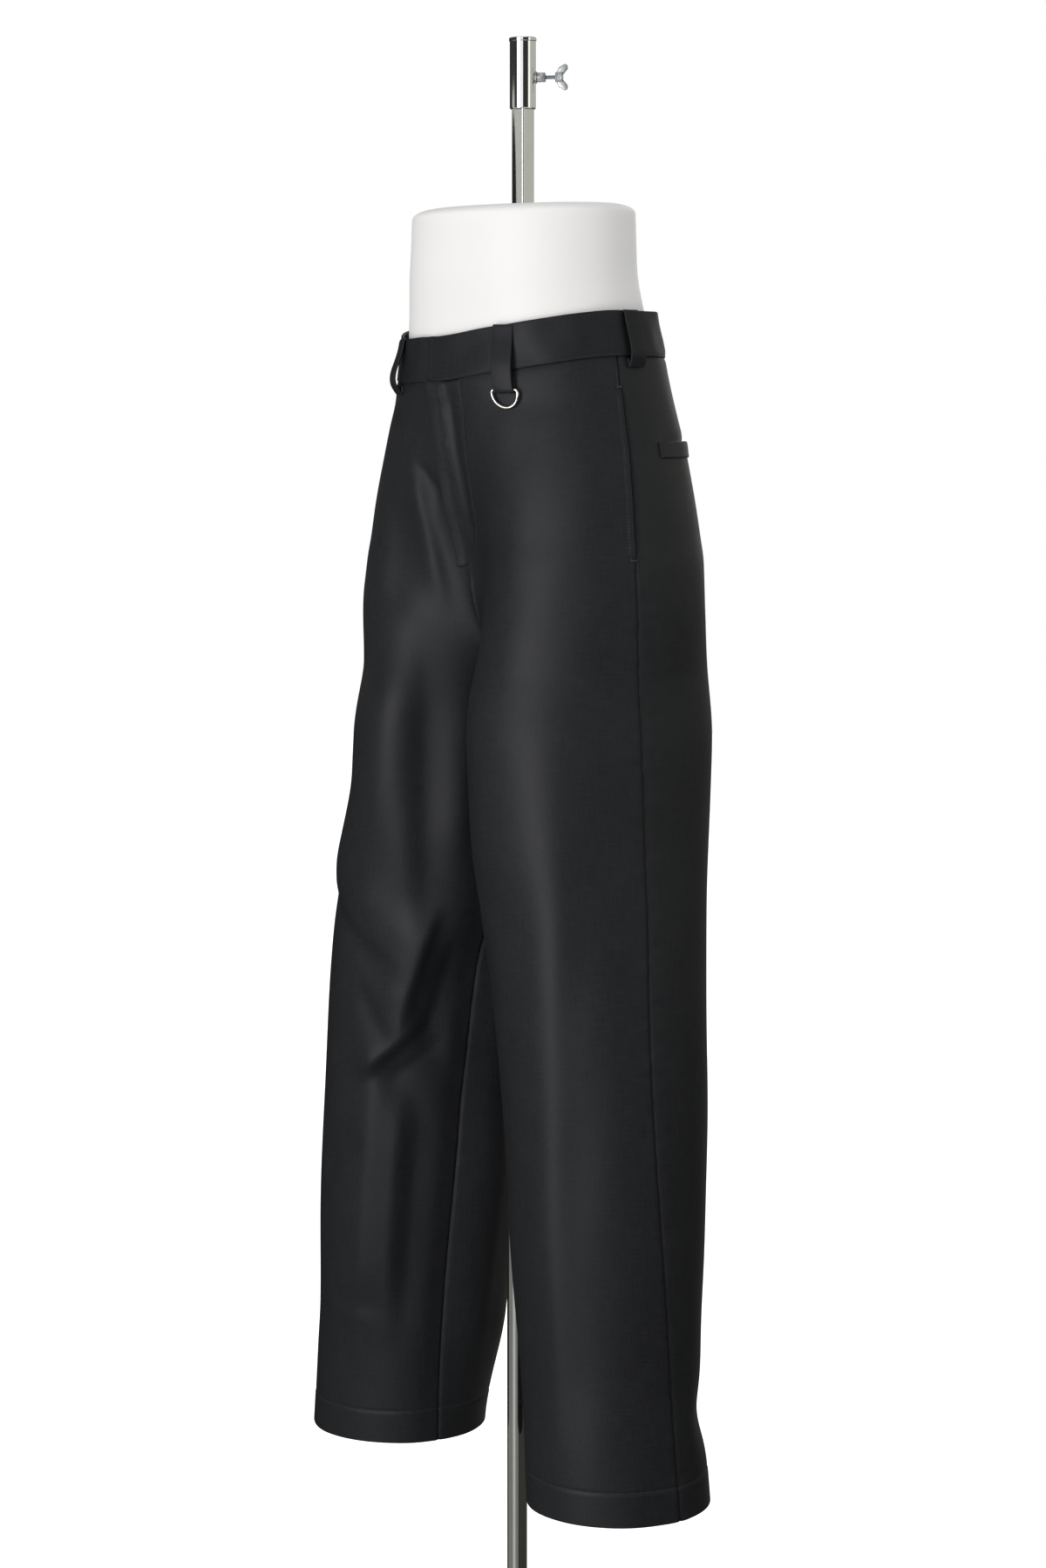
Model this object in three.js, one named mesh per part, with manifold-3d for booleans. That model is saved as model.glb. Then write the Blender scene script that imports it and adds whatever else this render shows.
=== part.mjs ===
// Wide straight work trousers on a limbless hip form and its pole stand.
//
// Millimetres, +Z up, -Y is the wearer's front and +X the wearer's left. The origin is the middle
// of the base plate's underside, on the pole's axis.
//
// The cloth is one wall worked out from two tables of sections: the hips, one loop round both
// legs, and the leg, one loop for each. A panel is a grid over its stretch of those loops, from
// the centre seam and inseam to the side seam. What is sewn on a panel is made from the same
// points, moved out.

import * as THREE from 'three';
import Module from 'manifold-3d';
import { mergeVertices } from 'three/addons/utils/BufferGeometryUtils.js';

const wasm = await Module();
wasm.setup();

// ---- driving sizes ----

const cloth = { wall: 1.8, seamGap: 0.3, girth: 280 };
const heights = { hem: 180, crotch: 905, waistSeam: 1176 };
const waistDip = { depth: 20, from: 1060, to: 1165 };   // the waist's fall to centre front
const dipWidth = 68;                 // reach, from the middle, of the hollow at the centre seams

const band = { height: 40.5, wall: 3, proud: 0.6, underlap: 38, overlap: 12, lap: 3.4, lapRun: 18, step: 7 };
const fly = { over: 9, width: 40, lift: 0.6, wall: 1.2, foot: 997, curve: 48 };
const pocket = { top: 1154, bottom: 1006, edge: 7, lift: 0.5, wall: 0.9 };
const welt = { height: 14, length: 132, top: 1105, fromSeam: 30, lift: 0.8, wall: 1.4 };
const beltLoop = { width: 18.5, wall: 2, bow: 8, drop: 10, angles: { side: 4, back: 90, front: -58 } };
const ringLoop = { width: 19, wall: 1.7, drop: 15.5, bow: 2, backTop: 3 };
const dRing = { wire: 2.6, width: 27, height: 19, lean: 1.2, shoulder: 0.16 };

const form = { shoulder: 22, shoulderDrop: 9, foot: 26, topSlope: 0.026, slopeFrom: 1240, slopeTo: 1300 };
const base = { radius: 170, height: 8, bevel: 2, socket: 14, socketTop: 30 };
const pole = { radius: 9.25, y: -7 };
const polePush = { out: 12.5, reach: 30, blend: 3, top: 945, fade: 25 };   // how the pole parts the inner thighs
const post = { width: 15, corner: 1.5, top: 1438 };
const collar = { radius: 11.7, bottom: 1398, top: 1460, rim: 12.3, rimHeight: 3, lip: 0.8 };
const nut = { across: 8, length: 8 };
const wingScrew = { z: 1425.5, rod: 1.7, rodLength: 17, hub: 4.6, hubLength: 6.5, span: 11.5, flare: 9, wing: 5.2, thick: 2.6 };
const standTurn = 5;                 // degrees, the post's faces from the wearer's axes
const screwTurn = 42;                // degrees, the wing screw from the wearer's left
const gap = 0.3;                     // between one solid and the next that it rests on

// Hips: half is from the middle plane to the side, middle the y of the widest point, front and
// back the reach from there, and the two dips how far the centre seams sink between the lobes.
const hipRows = [
  { z: 880, half: 174, middle: 9, front: 124, back: 124, frontDip: 57, backDip: 8 },
  { z: 905, half: 175, middle: 9, front: 127, back: 127, frontDip: 59, backDip: 10 },
  { z: 950, half: 175, middle: 10, front: 132, back: 134, frontDip: 62, backDip: 12 },
  { z: 1000, half: 172, middle: 10, front: 132, back: 138, frontDip: 60, backDip: 11 },
  { z: 1025, half: 168, middle: 10, front: 129, back: 135, frontDip: 52, backDip: 8 },
  { z: 1050, half: 164, middle: 10, front: 126, back: 131, frontDip: 42, backDip: 6 },
  { z: 1075, half: 159, middle: 10, front: 122, back: 127, frontDip: 32, backDip: 4 },
  { z: 1100, half: 153, middle: 10, front: 117, back: 123, frontDip: 21, backDip: 2 },
  { z: 1120, half: 147, middle: 9, front: 112, back: 120, frontDip: 14, backDip: 1 },
  { z: 1140, half: 141, middle: 8, front: 106, back: 117, frontDip: 6, backDip: 0 },
  { z: 1160, half: 136, middle: 7, front: 104, back: 114, frontDip: 1, backDip: 0 },
  { z: 1180, half: 132, middle: 7, front: 102.5, back: 110, frontDip: 0, backDip: 0 },
  { z: 1200, half: 129, middle: 7, front: 102, back: 106, frontDip: 0, backDip: 0 },
  { z: 1222, half: 126, middle: 7, front: 101, back: 102, frontDip: 0, backDip: 0 },
];

// The leg: x and y place the middle of its loop; inner, outer, front and back are its reaches;
// the seams' angles are turned toward the front by sideTurn and innerTurn degrees.
const legRows = [
  { z: 180, x: 157, y: -22, inner: 81, outer: 81, front: 81, back: 81, sideTurn: 0, innerTurn: 11 },
  { z: 250, x: 152, y: -23, inner: 79, outer: 79, front: 80, back: 80, sideTurn: 0, innerTurn: 11 },
  { z: 300, x: 147, y: -23, inner: 79, outer: 79, front: 80, back: 80, sideTurn: 0, innerTurn: 11 },
  { z: 400, x: 140, y: -20, inner: 84, outer: 84, front: 86, back: 86, sideTurn: 6, innerTurn: 11 },
  { z: 500, x: 132, y: -16, inner: 87, outer: 87, front: 90, back: 90, sideTurn: 12, innerTurn: 10 },
  { z: 600, x: 120, y: -12, inner: 90, outer: 90, front: 96, back: 96, sideTurn: 14, innerTurn: 10 },
  { z: 700, x: 105, y: -6, inner: 92, outer: 92, front: 105, back: 105, sideTurn: 14, innerTurn: 9 },
  { z: 750, x: 96, y: -2, inner: 90, outer: 94, front: 113, back: 111, sideTurn: 14, innerTurn: 8 },
  { z: 800, x: 89, y: 2, inner: 86, outer: 96, front: 118, back: 115, sideTurn: 14, innerTurn: 6 },
  { z: 850, x: 83, y: 5, inner: 81.4, outer: 98, front: 121, back: 119, sideTurn: 15, innerTurn: 3 },
  { z: 905, x: 78, y: 8, inner: 77.85, outer: 97, front: 121, back: 120, sideTurn: 15, innerTurn: 0 },
];

// Where the side seam leaves the hips' widest point, in degrees toward the front.
const sideSeamRows = [
  { z: 905, turn: 15 },
  { z: 1000, turn: 12 },
  { z: 1100, turn: 8 },
  { z: 1160, turn: 4 },
  { z: 1222, turn: 3 },
];

// How each half rises from the crotch: start is the height where its curve leaves the centre seam.
const rises = {
  front: { start: 988, side: -1 },
  back: { start: 1010, side: 1 },
};
const crotchSide = 880;              // the height at the side seam of the row that meets the crotch

// How the hips' loop turns into the leg's: between what heights at the side, and how much closer
// together a panel's columns lie toward the centre seam, where the crotch curve alone holds within edge.
const blend = { high: 1020, low: 845, bias: 1.4, edge: 6 };

const foldTaper = 0.25;              // share of a fold's length, either side of its ends, over which it fades

// Folds: around runs from the side seam, 0, to the inseam, -1 by the front and 1 by the back.
// Height is how far the cloth stands out, or sinks in where it is less than nothing.
const folds = [
  // the far knee: a lip that overhangs, its hollow, and the crease that runs in from the side
  { leg: 'right', fromAround: -0.8, fromZ: 668, toAround: -0.73, toZ: 580, width: 17, height: 7 },
  { leg: 'right', fromAround: -0.74, fromZ: 578, toAround: -0.6, toZ: 545, width: 16, height: 6.5 },
  { leg: 'right', fromAround: -0.9, fromZ: 640, toAround: -0.82, toZ: 560, width: 18, height: -5 },
  { leg: 'right', fromAround: -0.86, fromZ: 560, toAround: -0.62, toZ: 520, width: 18, height: -6.5 },
  { leg: 'right', fromAround: -0.26, fromZ: 694, toAround: -0.63, toZ: 640, width: 15, height: -4 },
  { leg: 'right', fromAround: -0.3, fromZ: 728, toAround: -0.6, toZ: 684, width: 24, height: 3 },
  // the far thigh: two long ridges with a valley between them
  { leg: 'right', fromAround: -0.64, fromZ: 900, toAround: -0.75, toZ: 705, width: 22, height: -5 },
  { leg: 'right', fromAround: -0.5, fromZ: 900, toAround: -0.52, toZ: 770, width: 34, height: 3.5 },
  { leg: 'right', fromAround: -0.78, fromZ: 880, toAround: -0.82, toZ: 760, width: 18, height: 3 },
  // the far hip: a short crease and the ridge that falls from it beside the fly
  { leg: 'right', fromAround: -0.68, fromZ: 1088, toAround: -0.83, toZ: 1060, width: 11, height: -3 },
  { leg: 'right', fromAround: -0.66, fromZ: 1070, toAround: -0.75, toZ: 975, width: 14, height: 3.5 },
  { leg: 'right', fromAround: -0.57, fromZ: 1040, toAround: -0.58, toZ: 960, width: 24, height: -4 },
  // the far calf: two shallow creases, and the back of the leg standing fuller
  { leg: 'right', fromAround: -0.5, fromZ: 434, toAround: -0.7, toZ: 460, width: 14, height: -2.5 },
  { leg: 'right', fromAround: -0.55, fromZ: 320, toAround: -0.83, toZ: 313, width: 13, height: -2.5 },
  { leg: 'right', fromAround: 0.68, fromZ: 475, toAround: 0.68, toZ: 232, width: 80, height: 17 },
  // the near calf: the back of the leg breaks over the hem
  { leg: 'left', fromAround: 0.14, fromZ: 262, toAround: 0.5, toZ: 252, width: 26, height: -6 },
];

// ---- small helpers ----

const toRadians = Math.PI / 180;
const mix = (a, b, share) => a + (b - a) * share;
const clamp = (value, low = 0, high = 1) => Math.min(high, Math.max(low, value));
const smoothStep = (value) => {
  const t = clamp(value);
  return t * t * (3 - 2 * t);
};

// A table read at any height, with smooth slopes through its rows.
function readRow(rows, z) {
  const height = clamp(z, rows[0].z, rows[rows.length - 1].z);
  const upper = clamp(rows.findIndex((row) => row.z >= height), 1, rows.length - 1);
  const [before, low, high, after] = [upper - 2, upper - 1, upper, upper + 1]
    .map((index) => rows[clamp(index, 0, rows.length - 1)]);
  const span = high.z - low.z;
  const t = (height - low.z) / span;
  const read = {};
  for (const key of Object.keys(low)) {
    const lowSlope = (high[key] - before[key]) / (high.z - before.z) * span;
    const highSlope = (after[key] - low[key]) / (after.z - low.z) * span;
    read[key] = low[key] * (2 * t ** 3 - 3 * t ** 2 + 1) + high[key] * (3 * t ** 2 - 2 * t ** 3)
      + lowSlope * (t ** 3 - 2 * t ** 2 + t) + highSlope * (t ** 3 - t ** 2);
  }
  return read;
}

// ---- the trousers' surface ----

// A point of the hips' loop; the angle is 0 at the side, -90 at centre front and 90 at centre back.
function hipPoint(angle, z) {
  const row = readRow(hipRows, z);
  const isFront = angle < 0;
  const x = row.half * Math.cos(angle * toRadians);
  const dip = (isFront ? row.frontDip : row.backDip) * Math.exp(-((x / dipWidth) ** 2));
  const reach = (isFront ? row.front : row.back) * Math.sin(angle * toRadians);
  return new THREE.Vector3(x, row.middle + reach + (isFront ? dip : -dip), z);
}

// A point of one leg's loop; the angle is 0 outward, -90 at the front and 180 at the inseam.
function legPoint(angle, z) {
  const row = readRow(legRows, z);
  const across = Math.cos(angle * toRadians);
  const along = Math.sin(angle * toRadians);
  const x = row.x + across * (across > 0 ? row.outer : row.inner);
  return new THREE.Vector3(x, row.y + along * (along < 0 ? row.front : row.back), z);
}

// How far the waist falls at an angle toward centre front, fading out below it.
function waistFall(angle, level) {
  if (angle >= 0) return 0;
  const fade = smoothStep((level - waistDip.from) / (waistDip.to - waistDip.from));
  return waistDip.depth * Math.sin(angle * toRadians) ** 2 * fade;
}

// The height of the centre seam or inseam on the row whose side seam is at sideZ, and the share
// of the hips' loop in that row: 1 above the crotch curve and 0 below it.
function rowEnds(half, sideZ) {
  const { start } = rises[half];
  if (sideZ >= start) return { innerZ: sideZ, hipShare: 1 };
  if (sideZ <= crotchSide) {
    const down = (crotchSide - sideZ) / (crotchSide - heights.hem);
    return { innerZ: mix(heights.crotch, heights.hem, down), hipShare: 0 };
  }
  const turn = (start - sideZ) / (start - crotchSide) * Math.PI / 2;
  return { innerZ: start - (start - heights.crotch) * Math.sin(turn), hipShare: Math.cos(turn) };
}

// A point of the left leg's surface before its folds; inward is 0 at the side seam and 1 at the
// centre seam or inseam.
function plainPoint(half, inward, sideZ) {
  const { side } = rises[half];
  const { innerZ, hipShare } = rowEnds(half, sideZ);
  const wideShare = smoothStep((sideZ - blend.low) / (blend.high - blend.low));
  const level = mix(sideZ, innerZ, inward ** 3);
  const hipAngle = mix(-readRow(sideSeamRows, level).turn, side * 90, 1 - (1 - inward) ** blend.bias);
  const z = level - waistFall(hipAngle, level);
  const hip = hipPoint(hipAngle, z);
  const legRow = readRow(legRows, z);
  const legEnd = side < 0 ? -180 + legRow.innerTurn : 180 + legRow.innerTurn;
  const leg = legPoint(mix(-legRow.sideTurn, legEnd, inward), z);
  return leg.lerp(hip, mix(wideShare, hipShare, inward ** blend.edge));
}

// The crotch seams are open round the pole, and it holds the inner thighs apart below them.
function besidePole(x, y, z) {
  const push = polePush.out * Math.exp(-(((y - pole.y) / polePush.reach) ** 2)) * smoothStep((polePush.top - z) / polePush.fade);
  return (x + push + Math.hypot(x - push, polePush.blend * push / polePush.out)) / 2;
}

function foldHeight(legName, around, z) {
  let height = 0;
  for (const fold of folds) {
    if (fold.leg !== legName) continue;
    const run = new THREE.Vector2((fold.toAround - fold.fromAround) * cloth.girth, fold.toZ - fold.fromZ);
    const way = around - fold.fromAround;
    const shortestWay = way - 2 * Math.round(way / 2);      // so that a fold crosses the inseam whole
    const offset = new THREE.Vector2(shortestWay * cloth.girth, z - fold.fromZ);
    const share = offset.dot(run) / run.lengthSq();
    const beside = offset.addScaledVector(run, -share).length() / fold.width;
    const along = smoothStep((share + foldTaper) / (2 * foldTaper)) * smoothStep((1 + foldTaper - share) / (2 * foldTaper));
    height += fold.height * along * Math.exp(-(beside ** 2));
  }
  return height;
}

function plainNormal(half, inward, sideZ) {
  const step = { inward: 0.004, z: 0.6 };
  const a = plainPoint(half, Math.min(1, inward + step.inward), sideZ);
  const b = plainPoint(half, Math.max(0, inward - step.inward), sideZ);
  const c = plainPoint(half, inward, sideZ + step.z);
  const d = plainPoint(half, inward, sideZ - step.z);
  const normal = a.sub(b).cross(c.sub(d)).normalize();
  return rises[half].side < 0 ? normal.negate() : normal;
}

// A point of either leg, out from the cloth's outer face by the given distance.
function clothPoint(legName, half, inward, sideZ, out = 0) {
  const point = plainPoint(half, inward, sideZ);
  const normal = plainNormal(half, inward, sideZ);
  const raised = foldHeight(legName, rises[half].side * inward, point.z);
  point.addScaledVector(normal, raised + out);
  point.x = besidePole(Math.max(cloth.seamGap / 2, point.x), point.y, point.z);
  if (legName === 'right') point.x = -point.x;
  return point;
}

// ---- solids from grids and rings ----

// A closed wall between two grids of points, outer and inner, each a list of rows.
function wallSolid(outer, inner) {
  const rows = outer.length;
  const columns = outer[0].length;
  const positions = [...outer.flat(), ...inner.flat()].flatMap((point) => point.toArray());
  const index = [];
  const at = (row, column, layer) => layer * rows * columns + row * columns + column;
  const quad = (a, b, c, d) => index.push(a, b, c, a, c, d);
  for (let row = 0; row < rows - 1; row += 1) {
    for (let column = 0; column < columns - 1; column += 1) {
      quad(at(row, column, 0), at(row, column + 1, 0), at(row + 1, column + 1, 0), at(row + 1, column, 0));
      quad(at(row, column, 1), at(row + 1, column, 1), at(row + 1, column + 1, 1), at(row, column + 1, 1));
    }
    quad(at(row, 0, 0), at(row + 1, 0, 0), at(row + 1, 0, 1), at(row, 0, 1));
    quad(at(row, columns - 1, 0), at(row, columns - 1, 1), at(row + 1, columns - 1, 1), at(row + 1, columns - 1, 0));
  }
  for (let column = 0; column < columns - 1; column += 1) {
    quad(at(0, column, 0), at(0, column, 1), at(0, column + 1, 1), at(0, column + 1, 0));
    quad(at(rows - 1, column, 0), at(rows - 1, column + 1, 0), at(rows - 1, column + 1, 1), at(rows - 1, column, 1));
  }
  const geometry = new THREE.BufferGeometry();
  geometry.setAttribute('position', new THREE.Float32BufferAttribute(positions, 3));
  geometry.setIndex(index);
  return outward(geometry);
}

// A closed solid through rings of points, capped at both ends or joined end to end.
function ringSolid(rings, joined = false) {
  const count = rings[0].length;
  const positions = rings.flat().flatMap((point) => point.toArray());
  const index = [];
  const last = joined ? rings.length : rings.length - 1;
  for (let ring = 0; ring < last; ring += 1) {
    const next = (ring + 1) % rings.length;
    for (let side = 0; side < count; side += 1) {
      const after = (side + 1) % count;
      const [a, b, c, d] = [ring * count + side, ring * count + after, next * count + after, next * count + side];
      index.push(a, b, c, a, c, d);
    }
  }
  if (!joined) {
    for (const [ring, turned] of [[0, true], [rings.length - 1, false]]) {
      const middle = rings[ring].reduce((sum, point) => sum.add(point), new THREE.Vector3())
        .divideScalar(count);
      positions.push(...middle.toArray());
      const centre = positions.length / 3 - 1;
      for (let side = 0; side < count; side += 1) {
        const [a, b] = [ring * count + side, ring * count + (side + 1) % count];
        index.push(...(turned ? [b, a, centre] : [a, b, centre]));
      }
    }
  }
  const geometry = new THREE.BufferGeometry();
  geometry.setAttribute('position', new THREE.Float32BufferAttribute(positions, 3));
  geometry.setIndex(index);
  return outward(geometry);
}

// Faces turned outward: the signed volume of a closed mesh is more than nothing.
function outward(geometry) {
  const position = geometry.getAttribute('position');
  const index = geometry.getIndex();
  const corner = (i) => new THREE.Vector3().fromBufferAttribute(position, index.getX(i));
  let volume = 0;
  for (let i = 0; i < index.count; i += 3) volume += corner(i).dot(corner(i + 1).cross(corner(i + 2)));
  if (volume < 0) {
    for (let i = 0; i < index.count; i += 3) {
      const second = index.getX(i + 1);
      index.setX(i + 1, index.getX(i + 2));
      index.setX(i + 2, second);
    }
  }
  geometry.computeVertexNormals();
  return geometry;
}

const steps = (count) => Array.from({ length: count + 1 }, (_, i) => i / count);

// Many closed geometries as one: joined where they overlap.
function joinSolids(geometries) {
  const solids = geometries.map((geometry) => {
    const bare = geometry.clone();
    bare.deleteAttribute('normal');
    bare.deleteAttribute('uv');
    const merged = mergeVertices(bare, 1e-4);
    return new wasm.Manifold(new wasm.Mesh({
      numProp: 3,
      vertProperties: merged.getAttribute('position').array,
      triVerts: Uint32Array.from(merged.getIndex().array),
    }));
  });
  return geometryOf(solids.reduce((sum, solid) => sum.add(solid)));
}

function geometryOf(solid) {
  const mesh = solid.getMesh();
  const geometry = new THREE.BufferGeometry();
  geometry.setAttribute('position', new THREE.Float32BufferAttribute(Array.from(mesh.vertProperties), 3));
  geometry.setIndex(Array.from(mesh.triVerts));
  geometry.computeVertexNormals();
  return geometry;
}

// ---- materials ----

const twill = new THREE.MeshStandardMaterial({ color: 0x26272a, roughness: 0.8, metalness: 0 });
const plastic = new THREE.MeshStandardMaterial({ color: 0xf1f0ee, roughness: 0.6, metalness: 0 });
const chrome = new THREE.MeshStandardMaterial({ color: 0xd8dade, roughness: 0.08, metalness: 1 });
const nickel = new THREE.MeshStandardMaterial({ color: 0xc9c9c6, roughness: 0.25, metalness: 1 });

const model = new THREE.Group();

function addPart(name, geometry, material, parent = model) {
  const mesh = new THREE.Mesh(geometry, material);
  mesh.name = name;
  parent.add(mesh);
  return mesh;
}

// ---- the four panels ----

// Side heights of a panel's rows, closer together at the crotch and at the knee that folds.
function panelHeights(legName, half) {
  const { start } = rises.front;
  const spans = [
    { to: start, count: 9 },
    { to: crotchSide, count: 8 },
    { to: 700, count: 5 },
    { to: 500, count: legName === 'right' && half === 'front' ? 12 : 5 },
    { to: heights.hem, count: 8 },
  ];
  const list = [heights.waistSeam];
  for (const { to, count } of spans) {
    const from = list[list.length - 1];
    for (const share of steps(count).slice(1)) list.push(mix(from, to, share));
  }
  return list;
}

const panelColumns = { front: 14, back: 11 };

// Where a panel's columns lie between the side seam and the inner seam, half a gap from each.
function panelInwards(half) {
  const edge = cloth.seamGap / 2 / cloth.girth;
  return steps(panelColumns[half]).map((share) => mix(edge, 1 - edge, share));
}

function panel(legName, half) {
  const grid = (out) => panelHeights(legName, half).map((sideZ) => (
    panelInwards(half).map((inward) => clothPoint(legName, half, inward, sideZ, out))
  ));
  return wallSolid(grid(0), grid(-cloth.wall));
}

for (const legName of ['left', 'right']) {
  for (const half of ['front', 'back']) addPart(`${half}_${legName}`, panel(legName, half), twill);
}

// ---- what is sewn on the panels ----

// Two layers of one grid of points, as a wall that stands from lift to lift + wall off the cloth.
function layerSolid(rowList, columnList, pointAt, lift, wall) {
  const grid = (out) => rowList.map((row) => columnList.map((column) => pointAt(row, column, out)));
  return wallSolid(grid(lift + wall), grid(lift));
}

// A point over a panel's own facets, so that what lies on the panel keeps clear of its edges.
function facetPoint(legName, half, inward, sideZ, out) {
  const rows = panelHeights(legName, half);
  const columns = panelInwards(half);
  const row = clamp(rows.findIndex((z) => z <= sideZ) - 1, 0, rows.length - 2);
  const column = clamp(columns.findIndex((share) => share >= inward) - 1, 0, columns.length - 2);
  const down = (rows[row] - sideZ) / (rows[row] - rows[row + 1]);
  const across = (inward - columns[column]) / (columns[column + 1] - columns[column]);
  const corner = (i, j) => clothPoint(legName, half, columns[column + j], rows[row + i], out);
  const [near, far] = [corner(0, 0), corner(1, 1)];
  const side = across > down ? corner(0, 1) : corner(1, 0);
  const [first, second] = across > down ? [across, down] : [down, across];
  return near.multiplyScalar(1 - first).addScaledVector(side, first - second).addScaledVector(far, second);
}

// The inward share of the point that lies a given distance along the cloth from the side seam.
function inwardAt(half, sideZ, distance) {
  const count = 60;
  let walked = 0;
  let before = plainPoint(half, 0, sideZ);
  for (const share of steps(count).slice(1)) {
    const point = plainPoint(half, share, sideZ);
    const step = point.distanceTo(before);
    if (walked + step >= distance) return share - (walked + step - distance) / step / count;
    walked += step;
    before = point;
  }
  return 1;
}

// A point near centre front at a given x, which is less than nothing on the wearer's right.
function frontPoint(x, sideZ, out) {
  let [low, high] = [0.5, 1];
  for (let turn = 0; turn < 24; turn += 1) {
    const middle = (low + high) / 2;
    if (plainPoint('front', middle, sideZ).x > Math.abs(x)) low = middle;
    else high = middle;
  }
  return facetPoint(x < 0 ? 'right' : 'left', 'front', high, sideZ, out);
}

function flyPoint(sideZ, share, out) {
  const down = clamp((fly.foot + fly.curve - sideZ) / fly.curve);
  const width = Math.max(fly.width * Math.sqrt(1 - down ** 2), 5);
  return frontPoint(-fly.over + width * share, sideZ, out);
}

const flyRows = steps(12).map((share) => mix(heights.waistSeam - gap, fly.foot, share ** 0.8));
addPart('fly', layerSolid(flyRows, steps(6), flyPoint, fly.lift, fly.wall), twill);

for (const legName of ['left', 'right']) {
  const pocketRows = steps(8).map((share) => mix(pocket.top, pocket.bottom, share));
  const edgePoint = (sideZ, share, out) => (
    facetPoint(legName, 'front', inwardAt('front', sideZ, gap + pocket.edge * share), sideZ, out)
  );
  addPart(`pocket_edge_${legName}`, layerSolid(pocketRows, steps(2), edgePoint, pocket.lift, pocket.wall), twill);

  const weltRows = steps(2).map((share) => welt.top - welt.height * share);
  const weltPoint = (sideZ, share, out) => (
    facetPoint(legName, 'back', inwardAt('back', sideZ, welt.fromSeam + welt.length * share), sideZ, out)
  );
  addPart(`back_welt_${legName}`, layerSolid(weltRows, steps(12), weltPoint, welt.lift, welt.wall), twill);
}

// ---- waistband and loops ----

// A point of the waist all round: turn is 0 at the wearer's left, 90 behind and -90 in front.
function waistPoint(turn, level, out) {
  const wrapped = THREE.MathUtils.euclideanModulo(turn + 90, 360) - 90;
  const mirrored = wrapped > 90;
  const angle = mirrored ? 180 - wrapped : wrapped;
  const at = (a, h) => hipPoint(a, h - waistFall(a, h));
  const across = at(angle + 0.5, level).sub(at(angle - 0.5, level));
  const up = at(angle, level + 1).sub(at(angle, level - 1));
  const point = at(angle, level).addScaledVector(across.cross(up).normalize(), out);
  if (mirrored) point.x = -point.x;
  return point;
}

// The band runs from its hidden end, under the front, right round to the end that laps over it.
function waistband() {
  const half = readRow(hipRows, heights.waistSeam - waistDip.depth).half;
  const angleOf = (x) => Math.asin(x / half) / toRadians;
  const start = -90 + angleOf(band.underlap);
  const end = -450 - angleOf(band.overlap);
  const count = Math.round((start - end) / band.step);
  const turns = steps(count).map((share) => mix(start, end, share));
  const sunk = (turn) => {
    const x = half * Math.cos(turn * toRadians);
    return turn > -180 ? band.lap * smoothStep((x + band.overlap + 2) / band.lapRun + 1) : 0;
  };
  const grid = (out) => steps(2).map((share) => turns.map((turn) => (
    waistPoint(turn, heights.waistSeam + gap + band.height * share, out - sunk(turn))
  )));
  return wallSolid(grid(band.proud), grid(band.proud - band.wall));
}

addPart('waistband', waistband(), twill);

// A place beside the waist: across along it, out from the cloth, at a level.
function besideWaist(turn, level, across, out) {
  const tangent = waistPoint(turn + 1, level, 0).sub(waistPoint(turn - 1, level, 0)).setZ(0).normalize();
  return waistPoint(turn, level, out).addScaledVector(tangent, across);
}

function beltLoopSolid(turn) {
  const low = heights.waistSeam - beltLoop.drop;
  const high = heights.waistSeam + gap + band.height;
  const layer = (extra) => steps(12).map((share) => {
    const seat = gap + band.proud * smoothStep(share * 4);
    const out = seat + beltLoop.bow * Math.sin(Math.PI * share) ** 0.6 + extra;
    return [-0.5, 0, 0.5].map((side) => besideWaist(turn, mix(low, high, share), side * beltLoop.width, out));
  });
  return wallSolid(layer(beltLoop.wall), layer(0));
}

const { angles } = beltLoop;
addPart('belt_loop_side_left', beltLoopSolid(angles.side), twill);
addPart('belt_loop_side_right', beltLoopSolid(180 - angles.side), twill);
addPart('belt_loop_back', beltLoopSolid(angles.back), twill);
addPart('belt_loop_front_right', beltLoopSolid(-180 - angles.front), twill);

// The ring's bar lies in the eye at the foot of its loop.
const eye = {
  out: gap + ringLoop.wall + gap + dRing.wire / 2,
  level: heights.waistSeam - ringLoop.drop + ringLoop.wall + gap + dRing.wire / 2,
};

// The loop's middle line from the band's top, down and round the bar, and up behind it.
function ringLoopSolid() {
  const radius = dRing.wire / 2 + gap + ringLoop.wall / 2;
  const top = heights.waistSeam + gap + band.height;
  const down = steps(8).map((share) => ({
    out: mix(gap + band.proud + ringLoop.wall / 2, eye.out + radius, smoothStep(share * 1.6))
      + ringLoop.bow * Math.sin(Math.PI * share),
    level: mix(top, eye.level, share),
  }));
  const round = steps(8).slice(1, -1).map((share) => ({
    out: eye.out + radius * Math.cos(share * Math.PI),
    level: eye.level - radius * Math.sin(share * Math.PI),
  }));
  const up = steps(2).map((share) => ({
    out: eye.out - radius,
    level: mix(eye.level, heights.waistSeam - ringLoop.backTop, share),
  }));
  const line = [...down, ...round, ...up];
  const layer = (offset) => line.map((point, i) => {
    const before = line[Math.max(i - 1, 0)];
    const after = line[Math.min(i + 1, line.length - 1)];
    const along = new THREE.Vector2(after.out - before.out, after.level - before.level).normalize();
    const out = point.out - along.y * offset;
    const level = point.level + along.x * offset;
    return [-0.5, 0.5].map((side) => besideWaist(angles.front, level, side * ringLoop.width, out));
  });
  return wallSolid(layer(ringLoop.wall / 2), layer(-ringLoop.wall / 2));
}

addPart('ring_loop', ringLoopSolid(), twill);

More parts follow.
